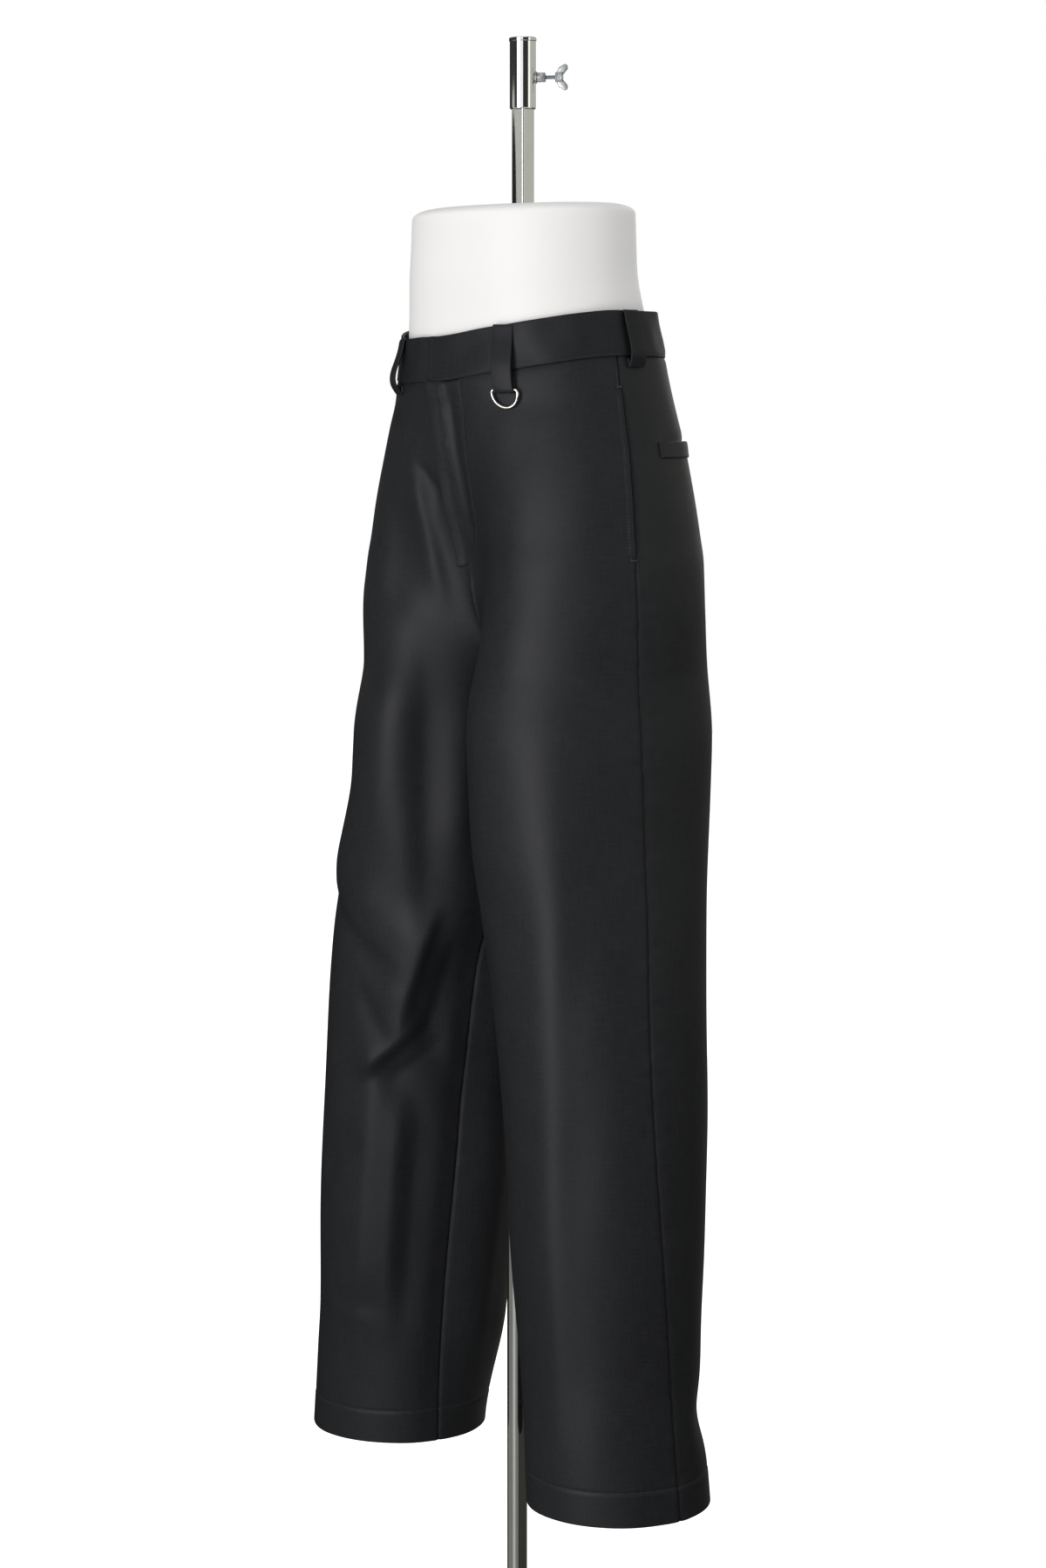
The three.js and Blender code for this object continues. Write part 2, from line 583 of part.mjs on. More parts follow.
// A round wire along a closed line of points.
function wireRing(line, radius, sides) {
  const normal = line[1].clone().sub(line[0]).cross(line[Math.floor(line.length / 2)].clone().sub(line[0])).normalize();
  const rings = line.map((point, i) => {
    const before = line[(i + line.length - 1) % line.length];
    const after = line[(i + 1) % line.length];
    const along = after.clone().sub(before).normalize();
    const beside = along.clone().cross(normal);
    return steps(sides).slice(1).map((share) => point.clone()
      .addScaledVector(beside, radius * Math.cos(share * 2 * Math.PI))
      .addScaledVector(normal, radius * Math.sin(share * 2 * Math.PI)));
  });
  return ringSolid(rings, true);
}

// The D: a straight bar, short shoulders and a half ellipse that hangs on the cloth.
function dRingSolid() {
  const half = (dRing.width - dRing.wire) / 2;
  const drop = dRing.height - dRing.wire;
  const barLeft = besideWaist(angles.front, eye.level, -half, eye.out);
  const barRight = besideWaist(angles.front, eye.level, half, eye.out);
  const foot = besideWaist(angles.front, eye.level - drop, 0, eye.out - dRing.lean);
  const middle = barLeft.clone().add(barRight).divideScalar(2);
  const side = barRight.clone().sub(barLeft).normalize();
  const fall = foot.sub(middle);
  const place = (across, down) => middle.clone().addScaledVector(side, across).addScaledVector(fall, down);
  const line = [-0.8, 0, 0.8].map((share) => place(half * share, 0));
  line.push(place(half * 0.95, dRing.shoulder * 0.3));
  for (const share of steps(14)) {
    const turn = share * Math.PI;
    line.push(place(half * Math.cos(turn), dRing.shoulder + (1 - dRing.shoulder) * Math.sin(turn)));
  }
  line.push(place(-half * 0.95, dRing.shoulder * 0.3));
  return wireRing(line, dRing.wire / 2, 8);
}

addPart('d_ring', dRingSolid(), nickel);

// ---- the hip form ----

const formRows = [
  { z: 985, half: 140, middle: 9, front: 44, back: 94 },
  { z: 1010, half: 147, middle: 8, front: 54, back: 103 },
  { z: 1040, half: 152, middle: 6, front: 65, back: 111 },
  { z: 1080, half: 147, middle: 5, front: 75, back: 112 },
  { z: 1120, half: 138, middle: 5, front: 83, back: 110 },
  { z: 1150, half: 130, middle: 5, front: 89, back: 107 },
  { z: 1180, half: 124.5, middle: 4, front: 91, back: 101 },
  { z: 1200, half: 121.5, middle: 3, front: 91, back: 97.5 },
  { z: 1222, half: 118.5, middle: 2, front: 91, back: 94 },
  { z: 1250, half: 115, middle: 0, front: 90.5, back: 90 },
  { z: 1280, half: 113.5, middle: 0, front: 89, back: 88.5 },
  { z: 1313, half: 112, middle: 0, front: 88, back: 88 },
];

function formRing(z, inset) {
  const row = readRow(formRows, z);
  return steps(30).slice(1).map((share) => {
    const turn = share * 2 * Math.PI;
    const reach = Math.sin(turn) < 0 ? row.front : row.back;
    const y = row.middle + (reach - inset) * Math.sin(turn);
    const tilt = form.topSlope * y * smoothStep((z - form.slopeFrom) / (form.slopeTo - form.slopeFrom));
    return new THREE.Vector3((row.half - inset) * Math.cos(turn), y, z + tilt);
  });
}

function hipForm() {
  const [low, high] = [formRows[0].z, formRows[formRows.length - 1].z];
  const foot = steps(5).map((share) => {
    const turn = share * Math.PI / 2;
    return formRing(low + form.foot * (1 - Math.cos(turn)), form.foot * (1 - Math.sin(turn)));
  });
  const body = steps(10).slice(1).map((share) => formRing(mix(low + form.foot, high - form.shoulderDrop, share), 0));
  const shoulder = steps(4).slice(1).map((share) => {
    const turn = share * Math.PI / 2;
    return formRing(high - form.shoulderDrop * (1 - Math.sin(turn)), form.shoulder * (1 - Math.cos(turn)));
  });
  return ringSolid([...foot, ...body, ...shoulder]);
}

addPart('hip_form', hipForm(), plastic);

// ---- the stand ----

const [formFoot, formTop] = [formRows[0].z, formRows[formRows.length - 1].z];
const standGroup = new THREE.Group();
standGroup.rotation.z = standTurn * toRadians;
model.add(standGroup);

// A solid of revolution about the pole's axis; each point is a radius and a height.
function turned(points, segments) {
  const geometry = new THREE.LatheGeometry(points.map(([radius, z]) => new THREE.Vector2(radius, z)), segments);
  geometry.rotateX(Math.PI / 2);
  return outward(mergedPositions(geometry));
}

function mergedPositions(geometry) {
  geometry.deleteAttribute('normal');
  geometry.deleteAttribute('uv');
  return mergeVertices(geometry, 1e-4);
}

const bore = pole.radius + gap;
const plate = [
  [0, 0], [base.radius - base.bevel, 0], [base.radius, base.bevel], [base.radius, base.height - base.bevel],
  [base.radius - base.bevel, base.height], [base.socket, base.height], [base.socket, base.socketTop],
  [bore, base.socketTop], [bore, base.height], [0, base.height],
];
addPart('base_plate', turned(plate, 40), chrome).position.y = pole.y;

const poleLine = [[0, base.height + gap], [pole.radius, base.height + gap], [pole.radius, formFoot - gap], [0, formFoot - gap]];
addPart('pole', turned(poleLine, 24), chrome).position.y = pole.y;

function roundedSquare(width, corner) {
  const shape = new THREE.Shape();
  const [edge, start] = [width / 2, width / 2 - corner];
  shape.moveTo(edge, -start);
  for (const quarter of [0, 1, 2, 3]) {
    const turn = quarter * Math.PI / 2;
    const centre = new THREE.Vector2(start, start).rotateAround(new THREE.Vector2(), turn);
    shape.absarc(centre.x, centre.y, corner, turn, turn + Math.PI / 2);
  }
  return shape;
}

const postDiagonal = (post.width / 2 - post.corner) * Math.SQRT2 + post.corner;
const postBottom = formTop + gap + form.topSlope * postDiagonal;
const postGeometry = new THREE.ExtrudeGeometry(roundedSquare(post.width, post.corner),
  { depth: post.top - postBottom, bevelEnabled: false, curveSegments: 4 });
postGeometry.translate(0, 0, postBottom);
addPart('square_post', postGeometry, chrome, standGroup);

const collarBore = postDiagonal + gap;
const collarLine = [
  [collarBore, collar.bottom], [collar.radius - collar.lip, collar.bottom], [collar.radius, collar.bottom + collar.lip],
  [collar.radius, collar.top - collar.rimHeight], [collar.rim, collar.top - collar.rimHeight],
  [collar.rim, collar.top], [collarBore, collar.top], [collarBore, collar.bottom],
];
addPart('collar', turned(collarLine, 32), chrome, standGroup);

// The nut and the screw lie along +X here, then turn to their side of the collar.
const screwGroup = new THREE.Group();
screwGroup.position.z = wingScrew.z;
screwGroup.rotation.z = screwTurn * toRadians;
model.add(screwGroup);

const nutShape = new THREE.Shape(steps(6).slice(1).map((share) => (
  new THREE.Vector2(nut.across / Math.sqrt(3), 0).rotateAround(new THREE.Vector2(), share * 2 * Math.PI)
)));
nutShape.holes.push(new THREE.Path().absarc(0, 0, wingScrew.rod + gap, 0, 2 * Math.PI, true));
const nutGeometry = new THREE.ExtrudeGeometry(nutShape, { depth: nut.length, bevelEnabled: false, curveSegments: 12 });
nutGeometry.rotateY(Math.PI / 2);
nutGeometry.translate(collar.radius + gap, 0, 0);
addPart('collar_nut', nutGeometry, nickel, screwGroup);

function wingScrewSolid() {
  const { rod, rodLength, hub, hubLength, span, flare, wing, thick } = wingScrew;
  const from = collar.radius + gap;
  const hubFrom = from + rodLength;
  const along = (radius, start, length, sides) => {
    const cylinder = new THREE.CylinderGeometry(radius, radius, length, sides);
    cylinder.rotateZ(Math.PI / 2);
    cylinder.translate(start + length / 2, 0, 0);
    return cylinder;
  };
  const wingShape = new THREE.Shape([
    [0.5, hub - 2], [hubLength, hub - 2.6], [flare + 1.5, span - wing / 2 - 1], [flare + 1.2, span - 1],
    [flare - 1.2, span], [flare - wing, span - 3],
  ].map(([x, y]) => new THREE.Vector2(x, y)));
  const wings = [0, Math.PI].map((turn) => {
    const slab = new THREE.ExtrudeGeometry(wingShape, { depth: thick, bevelEnabled: false });
    slab.translate(hubFrom, 0, -thick / 2);
    slab.rotateX(Math.PI / 2 + turn);
    return slab;
  });
  return joinSolids([along(rod, from, rodLength + 1, 12), along(hub, hubFrom, hubLength, 16), ...wings]);
}

addPart('wing_screw', wingScrewSolid(), nickel, screwGroup);

export default model;
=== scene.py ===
import math

import bmesh
import bpy
import numpy as np
from mathutils import Matrix, Vector


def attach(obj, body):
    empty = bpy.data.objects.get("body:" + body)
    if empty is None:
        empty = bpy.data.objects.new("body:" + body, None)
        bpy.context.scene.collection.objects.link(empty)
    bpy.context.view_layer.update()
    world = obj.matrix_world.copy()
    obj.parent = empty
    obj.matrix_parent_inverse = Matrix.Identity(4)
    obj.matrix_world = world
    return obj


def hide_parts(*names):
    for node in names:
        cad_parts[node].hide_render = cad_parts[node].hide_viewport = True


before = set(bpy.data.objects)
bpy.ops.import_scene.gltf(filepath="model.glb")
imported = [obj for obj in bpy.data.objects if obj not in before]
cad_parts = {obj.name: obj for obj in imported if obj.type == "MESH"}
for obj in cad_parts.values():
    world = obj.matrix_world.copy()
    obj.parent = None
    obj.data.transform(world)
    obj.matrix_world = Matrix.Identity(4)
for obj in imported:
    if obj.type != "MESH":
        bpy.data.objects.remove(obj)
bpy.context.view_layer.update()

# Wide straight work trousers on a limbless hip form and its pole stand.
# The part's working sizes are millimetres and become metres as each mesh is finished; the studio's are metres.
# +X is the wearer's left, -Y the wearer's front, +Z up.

mm = 0.001

print("stage: camera, light and floor")

camera = {"azimuth": 50, "distance": 3000, "height": 1127, "pitch": 6.2347, "lens": 76.84}


# a place in metres: a distance out at an azimuth, turned from the front towards the wearer's left, and a height
def placeRound(azimuth, distance, height):
    turn = math.radians(azimuth)
    return Vector((distance * math.sin(turn), -distance * math.cos(turn), height))


def aimCamera():
    data = bpy.data.cameras.new("camera")
    data.sensor_fit = "VERTICAL"
    data.sensor_height = 36
    data.lens = camera["lens"]
    data.clip_end = 100
    piece = bpy.data.objects.new("camera", data)
    bpy.context.scene.collection.objects.link(piece)
    piece.location = placeRound(camera["azimuth"], camera["distance"] * mm, camera["height"] * mm)
    piece.rotation_euler = (math.radians(90 - camera["pitch"]), 0, math.radians(camera["azimuth"]))
    bpy.context.scene.camera = piece


aimCamera()


# sRGB hex text to Blender's linear colour
def hexColour(text):
    parts = [int(text[i:i + 2], 16) / 255 for i in (1, 3, 5)]
    return [*[p / 12.92 if p <= 0.04045 else ((p + 0.055) / 1.055) ** 2.4 for p in parts], 1]


# adds a node; an input given a socket is linked, and one given a number or colour is set
def addNode(tree, kind, settings=None, inputs=None):
    node = tree.nodes.new(kind)
    for name, value in (settings or {}).items():
        setattr(node, name, value)
    for name, value in (inputs or {}).items():
        if isinstance(value, bpy.types.NodeSocket):
            tree.links.new(value, node.inputs[name])
        else:
            node.inputs[name].default_value = value
    return node


def startMaterial(name):
    material = bpy.data.materials.new(name)
    material.use_nodes = True
    tree = material.node_tree
    tree.nodes.clear()
    return material, tree


def endMaterial(tree, shader):
    addNode(tree, "ShaderNodeOutputMaterial", inputs={"Surface": shader.outputs[0]})


softBoxes = [
    # name, azimuth, distance, height, width, tall, watts
    ("keyBox", 13, 2.15, 0.9, 0.7, 1.7, 23),
    ("fillBox", 105, 3.0, 1.9, 1.0, 2.2, 5),
    ("backBox", 215, 3.2, 1.9, 1.6, 2.0, 8),
    ("topBox", 20, 0.5, 3.3, 1.4, 1.4, 5),
]
# colour and strength of the surround as it is seen, as it lights the part and as metal mirrors it
studio = {"seen": ("#ffffff", 1.0), "lit": ("#ffffff", 0.6), "mirrored": ("#f4f5ee", 0.23), "aimHeight": 0.85}


def lightStudio():
    for name, azimuth, distance, height, width, tall, watts in softBoxes:
        data = bpy.data.lights.new(name, "AREA")
        data.shape = "RECTANGLE"
        data.size = width
        data.size_y = tall
        data.energy = watts
        piece = bpy.data.objects.new(name, data)
        piece.location = placeRound(azimuth, distance, height)
        toward = Vector((0, 0, studio["aimHeight"])) - piece.location
        piece.rotation_euler = toward.to_track_quat("-Z", "Y").to_euler()
        bpy.context.scene.collection.objects.link(piece)

    world = bpy.data.worlds.new("studioAir")
    world.use_nodes = True
    tree = world.node_tree
    tree.nodes.clear()
    air = {}
    for use in ("seen", "lit", "mirrored"):
        colour, strength = studio[use]
        air[use] = addNode(tree, "ShaderNodeBackground", inputs={
            "Color": hexColour(colour), "Strength": strength}).outputs[0]
    path = addNode(tree, "ShaderNodeLightPath")
    around = addNode(tree, "ShaderNodeMixShader", inputs={
        0: path.outputs["Is Glossy Ray"], 1: air["lit"], 2: air["mirrored"]})
    either = addNode(tree, "ShaderNodeMixShader", inputs={
        0: path.outputs["Is Camera Ray"], 1: around.outputs[0], 2: air["seen"]})
    addNode(tree, "ShaderNodeOutputWorld", inputs={"Surface": either.outputs[0]})
    bpy.context.scene.world = world
    bpy.context.scene.view_settings.view_transform = "Standard"


lightStudio()


def whitePaper():
    # seamless background paper: flat, bright and without gloss
    material, tree = startMaterial("seamlessPaper")
    shader = addNode(tree, "ShaderNodeBsdfPrincipled", inputs={
        "Base Color": hexColour("#f6f6f6"), "Roughness": 0.9, "Specular IOR Level": 0.1,
        "Emission Color": hexColour("#ffffff"), "Emission Strength": 0.78})
    endMaterial(tree, shader)
    return material


# matt board; a bright one glows by itself, so that polished metal mirrors it
def boardFinish(name, colour, glow):
    material, tree = startMaterial(name)
    shader = addNode(tree, "ShaderNodeBsdfPrincipled", inputs={
        "Base Color": hexColour("#0c0c0d"), "Roughness": 0.95, "Specular IOR Level": 0.1,
        "Emission Color": hexColour(colour), "Emission Strength": glow})
    endMaterial(tree, shader)
    return material


boards = [
    # name, azimuths it spans, lowest and highest height, colour and glow; they show only in reflections
    ("boardDarkLeft", -130, -4, 1.75, 2.5, "#454544", 0.6),
    ("boardLowLeft", -130, -58, 1.3, 1.75, "#454544", 0.6),
    ("boardPaleLeft", -58, -28, 1.3, 1.75, "#f2f3ea", 0.62),
    ("boardNearLeft", -28, -4, 1.3, 1.75, "#454544", 0.6),
    ("boardWhite", -4, 50, 0.95, 2.5, "#fbfcff", 1.15),
    ("boardDarkRight", 50, 96, 1.45, 2.5, "#454544", 0.6),
    ("boardOlive", 96, 186, 1.1, 2.5, "#eff0e4", 0.62),
    ("boardBack", 200, 228, 1.1, 2.5, "#ffffff", 0.7),
    ("boardLowWhite", 0, 30, -1.8, 0.3, "#f4f4ee", 0.55),
    ("boardLowDark", 62, 190, -1.8, 0.9, "#484843", 0.6),
    ("boardLowEdge", -130, -70, -1.8, 0.9, "#3c3c38", 0.45),
]
boardRadius = 3.5
# a dark oval in front of boardPaleLeft
oval = {"azimuth": -45.5, "radius": 3.4, "height": 1.42, "wide": 0.62, "tall": 0.56,
        "colour": "#2c2c2b", "glow": 0.5}
# the part's own shade just under the floor, which keeps light from below off the hems
shade = {"radius": 1.5, "under": 2, "colour": "#303030", "glow": 0.4}


# turns a finished mesh into an object with one material
def makeObject(name, bm, material):
    mesh = bpy.data.meshes.new(name)
    bm.to_mesh(mesh)
    bm.free()
    piece = bpy.data.objects.new(name, mesh)
    piece.data.materials.append(material)
    bpy.context.scene.collection.objects.link(piece)
    return piece


def stagePiece(name, bm, finish, hiddenFrom):
    piece = makeObject(name, bm, finish)
    for rays in hiddenFrom:
        setattr(piece, "visible_" + rays, False)


def stageRoom():
    bm = bmesh.new()
    bmesh.ops.create_circle(bm, cap_ends=True, segments=96, radius=9)
    stagePiece("floor", bm, whitePaper(), ("glossy", "diffuse"))       # so that it doesn't light the hems
    for name, start, end, low, high, colour, glow in boards:
        bm = bmesh.new()
        ends = [bm.verts.new(placeRound(start, boardRadius, height)) for height in (low, high)]
        bmesh.ops.spin(bm, geom=ends + [bm.edges.new(ends)], cent=(0, 0, 0), axis=(0, 0, 1),
                       angle=math.radians(end - start), steps=16)
        stagePiece(name, bm, boardFinish(name, colour, glow), ("camera", "diffuse", "shadow"))
    bm = bmesh.new()
    place = (Matrix.Rotation(math.radians(oval["azimuth"]), 4, "Z")
             @ Matrix.Translation((0, -oval["radius"], oval["height"])) @ Matrix.Rotation(math.pi / 2, 4, "X")
             @ Matrix.Diagonal((oval["wide"] / 2, oval["tall"] / 2, 1, 1)))
    bmesh.ops.create_circle(bm, cap_ends=True, segments=48, radius=1, matrix=place)
    finish = boardFinish("boardOval", oval["colour"], oval["glow"])
    stagePiece("boardOval", bm, finish, ("camera", "diffuse", "shadow"))
    bm = bmesh.new()
    bmesh.ops.create_circle(bm, cap_ends=True, segments=64, radius=shade["radius"],
                            matrix=Matrix.Translation((0, 0, -shade["under"] * mm)))
    finish = boardFinish("floorShade", shade["colour"], shade["glow"])
    stagePiece("floorShade", bm, finish, ("camera", "glossy", "shadow"))


stageRoom()

print("stage: materials")

# millimetres between ribs, their depth, and the length of a slub in the yarn; the ribs' slope in degrees
twillSizes = {"rib": 1.15, "ribDepth": 0.15, "slub": 54.0, "ribSlope": 27, "roughness": 0.49, "gloss": 0.25}
waveStep = 0.314      # distance between the bands of a wave texture at scale 1


def blackTwill(name, dark, light):
    # piece-dyed black cotton twill, pressed smooth: a soft lustre, fine diagonal ribs and slubby
    # yarns; the real ribs are 0.45 mm apart and are drawn coarser so that they show
    material, tree = startMaterial(name)
    place = addNode(tree, "ShaderNodeUVMap", {"uv_map": "clothMap"})
    inMillimetres = addNode(tree, "ShaderNodeMapping", inputs={
        "Vector": place.outputs[0], "Scale": (1000, 1000, 1000)})
    turned = addNode(tree, "ShaderNodeMapping", inputs={
        "Vector": inMillimetres.outputs[0], "Rotation": (0, 0, math.radians(twillSizes["ribSlope"]))})
    bands = {"wave_type": "BANDS", "bands_direction": "X", "wave_profile": "SIN"}
    ribs = addNode(tree, "ShaderNodeTexWave", bands, {
        "Vector": turned.outputs[0], "Scale": waveStep / twillSizes["rib"],
        "Distortion": 0.6, "Detail": 1.5, "Detail Scale": 2.0})
    warpAndWeft = []
    for drawnOut in ((1.1, 0.045, 1), (0.05, 1.0, 1)):
        way = addNode(tree, "ShaderNodeMapping", inputs={"Vector": inMillimetres.outputs[0], "Scale": drawnOut})
        warpAndWeft.append(addNode(tree, "ShaderNodeTexNoise", inputs={
            "Vector": way.outputs[0], "Scale": 1.0, "Detail": 3.0, "Roughness": 0.6}).outputs["Fac"])
    cloud = addNode(tree, "ShaderNodeTexNoise", inputs={
        "Vector": inMillimetres.outputs[0], "Scale": 1 / twillSizes["slub"], "Detail": 4.0, "Roughness": 0.55})
    yarns = addNode(tree, "ShaderNodeMath", {"operation": "ADD"}, {0: warpAndWeft[0], 1: warpAndWeft[1]})
    tones = addNode(tree, "ShaderNodeMath", {"operation": "MULTIPLY_ADD"}, {
        0: cloud.outputs["Fac"], 1: 0.45, 2: yarns.outputs[0]})
    depth = addNode(tree, "ShaderNodeMapRange", inputs={
        "Value": tones.outputs[0], "From Min": 0.9, "From Max": 1.55})
    colour = addNode(tree, "ShaderNodeMix", {"data_type": "RGBA"}, {
        0: depth.outputs[0], 6: hexColour(dark), 7: hexColour(light)})
    rough = addNode(tree, "ShaderNodeMapRange", inputs={
        "Value": yarns.outputs[0], "From Min": 0.7, "From Max": 1.3,
        "To Min": twillSizes["roughness"] - 0.05, "To Max": twillSizes["roughness"] + 0.06})
    height = addNode(tree, "ShaderNodeMath", {"operation": "MULTIPLY_ADD"}, {
        0: ribs.outputs["Fac"], 1: 0.55, 2: yarns.outputs[0]})
    bump = addNode(tree, "ShaderNodeBump", inputs={
        "Height": height.outputs[0], "Strength": 0.5, "Distance": twillSizes["ribDepth"] * mm})
    shader = addNode(tree, "ShaderNodeBsdfPrincipled", inputs={
        "Base Color": colour.outputs[2], "Roughness": rough.outputs[0], "Normal": bump.outputs[0],
        "Specular IOR Level": twillSizes["gloss"], "IOR": 1.5})
    endMaterial(tree, shader)
    return material


def polyesterThread():
    # spun polyester topstitching thread, black with a faint shine
    material, tree = startMaterial("polyesterThread")
    place = addNode(tree, "ShaderNodeTexCoord")
    twist = addNode(tree, "ShaderNodeTexNoise", inputs={
        "Vector": place.outputs["Object"], "Scale": 900.0, "Detail": 2.0})
    colour = addNode(tree, "ShaderNodeMix", {"data_type": "RGBA"}, {
        0: twist.outputs["Fac"], 6: hexColour("#2b2c30"), 7: hexColour("#4b4d53")})
    shader = addNode(tree, "ShaderNodeBsdfPrincipled", inputs={
        "Base Color": colour.outputs[2], "Roughness": 0.5, "Specular IOR Level": 0.45})
    endMaterial(tree, shader)
    return material


def paintedShell():
    # sprayed matt white paint on a moulded fibreglass shell: an eggshell finish with faint orange peel
    material, tree = startMaterial("mattPaintedFibreglass")
    place = addNode(tree, "ShaderNodeTexCoord")
    peel, cloud = (
        addNode(tree, "ShaderNodeTexNoise", inputs={
            "Vector": place.outputs["Object"], "Scale": scale, "Detail": detail})
        for scale, detail in ((420.0, 2.0), (9.0, 3.0)))
    colour = addNode(tree, "ShaderNodeMix", {"data_type": "RGBA"}, {
        0: cloud.outputs["Fac"], 6: hexColour("#f1f0ee"), 7: hexColour("#f8f7f5")})
    bump = addNode(tree, "ShaderNodeBump", inputs={
        "Height": peel.outputs["Fac"], "Strength": 0.15, "Distance": 0.0001})
    shader = addNode(tree, "ShaderNodeBsdfPrincipled", inputs={
        "Base Color": colour.outputs[2], "Roughness": 0.5, "Specular IOR Level": 0.4,
        "Normal": bump.outputs[0]})
    endMaterial(tree, shader)
    return material


# a plated metal with patches of duller plate; scale is patches to the metre
def platedMetal(name, bright, dull, roughness, wear, scale):
    material, tree = startMaterial(name)
    place = addNode(tree, "ShaderNodeTexCoord")
    haze = addNode(tree, "ShaderNodeTexNoise", inputs={
        "Vector": place.outputs["Object"], "Scale": scale, "Detail": 5.0, "Roughness": 0.65})
    patches = addNode(tree, "ShaderNodeMapRange", inputs={
        "Value": haze.outputs["Fac"], "From Min": 0.3, "From Max": 0.75})
    tint = addNode(tree, "ShaderNodeMix", {"data_type": "RGBA"}, {
        0: patches.outputs[0], 6: hexColour(bright), 7: hexColour(dull)})
    rough = addNode(tree, "ShaderNodeMapRange", inputs={
        "Value": haze.outputs["Fac"], "From Min": 0.3, "From Max": 0.75,
        "To Min": roughness, "To Max": roughness + wear})
    fine = addNode(tree, "ShaderNodeTexNoise", inputs={
        "Vector": place.outputs["Object"], "Scale": scale * 9, "Detail": 2.0})
    bump = addNode(tree, "ShaderNodeBump", inputs={
        "Height": fine.outputs["Fac"], "Strength": 0.03, "Distance": 0.00002})
    shader = addNode(tree, "ShaderNodeBsdfPrincipled", inputs={
        "Base Color": tint.outputs[2], "Metallic": 1.0, "Roughness": rough.outputs[0],
        "Normal": bump.outputs[0]})
    endMaterial(tree, shader)
    return material


twill = blackTwill("blackCottonTwill", "#1a1b1e", "#252629")
# the same twill a shade darker for the waistband and loops: painted shade for their duller look
shadedBandTwill = blackTwill("blackTwillShadedDarker", "#191a1d", "#232427")
thread = polyesterThread()
shell = paintedShell()
# decorative chrome on steel tube: mirror bright, with a faint haze
chromePlate = platedMetal("brightChromePlate", "#e6e7e6", "#d9dad8", 0.04, 0.03, 40.0)
# nickel on brass wire: warm and a little soft
nickelPlate = platedMetal("polishedNickelPlate", "#f6f4ee", "#e9e6de", 0.16, 0.08, 120.0)
# barrel-plated zinc on the small fixings: grey and dull
zincPlate = platedMetal("barrelZincPlate", "#d2d4d5", "#b2b5b7", 0.38, 0.12, 160.0)
# thin zinc on rolled thread: bluish and darker in its roots
screwSteel = platedMetal("zincPlatedThread", "#a9b3bd", "#828b95", 0.34, 0.12, 300.0)

print("stage: cloth surface")

# heights, with crotchSide the side seam's height on the crotch's row; girth is half round a leg, by
# which shares round it become millimetres
cloth = {"girth": 280, "hem": 180, "crotch": 905, "waistSeam": 1176, "crotchSide": 880, "wall": 1.1}
waistDip = {"depth": 17.5, "low": 1060, "high": 1165}
dipWidth = 68        # how far the dips at the centre seams reach to each side
polePush = {"y": -7, "out": 12.5, "reach": 30, "blend": 3, "top": 945, "fade": 25}
blend = {"high": 1020, "low": 845, "bias": 1.4, "edge": 6}        # where the legs' loops become the hips'
riseStart = {"front": 988, "back": 1010}        # below here the rows bend down along the rise seams
turnSide = {"front": -1, "back": 1}

# height, half width, middle y, reach to the front and to the back, dips at the two centre seams
hipRows = np.array([
    [880, 174, 9, 124, 124, 57, 8],
    [905, 175, 9, 127, 127, 59, 10],
    [950, 175, 10, 132, 134, 62, 12],
    [1000, 172, 10, 132, 138, 60, 11],
    [1025, 168, 10, 129, 135, 52, 8],
    [1050, 164, 10, 126, 131, 42, 6],
    [1075, 159, 10, 122, 127, 32, 4],
    [1100, 153, 10, 117, 123, 21, 2],
    [1120, 147, 9, 112, 120, 14, 1],
    [1140, 141, 8, 106, 117, 6, 0],
    [1160, 136, 7, 104, 114, 1, 0],
    [1180, 132, 7, 102.5, 110, 0, 0],
    [1200, 129, 7, 102, 106, 0, 0],
    [1222, 126, 7, 101, 102, 0, 0],
], dtype=float)

# height, middle x and y, reach inward, outward, front and back, turn of the side seam and the inseam
legRows = np.array([
    [180, 157, -22, 81, 81, 81, 81, 0, 11],
    [250, 152, -23, 79, 79, 80, 80, 0, 11],
    [300, 147, -23, 79, 79, 80, 80, 0, 11],
    [400, 140, -20, 84, 84, 86, 86, 6, 11],
    [500, 132, -16, 87, 87, 90, 90, 11, 10],
    [600, 120, -12, 90, 90, 96, 96, 12, 10],
    [700, 105, -6, 92, 92, 105, 105, 9.8, 9],
    [750, 96, -2, 90, 94, 113, 111, 9.5, 8],
    [800, 89, 2, 86, 96, 118, 115, 9.8, 6],
    [850, 83, 5, 81.4, 98, 121, 119, 10.4, 3],
    [905, 78, 8, 77.85, 97, 121, 120, 11, 0],
], dtype=float)

# height, and degrees from the hip's side forward to the side seam
sideSeamRows = np.array([[905, 11], [1000, 11], [1100, 9.2], [1160, 6.2], [1222, 5]], dtype=float)
# the waist sits a little higher on the wearer's left and lower on the right: how far, and the angles
# round the hip over which that comes in
waistTilt = {"left": (4.2, -95, -62), "right": (-6.0, -86, -52)}

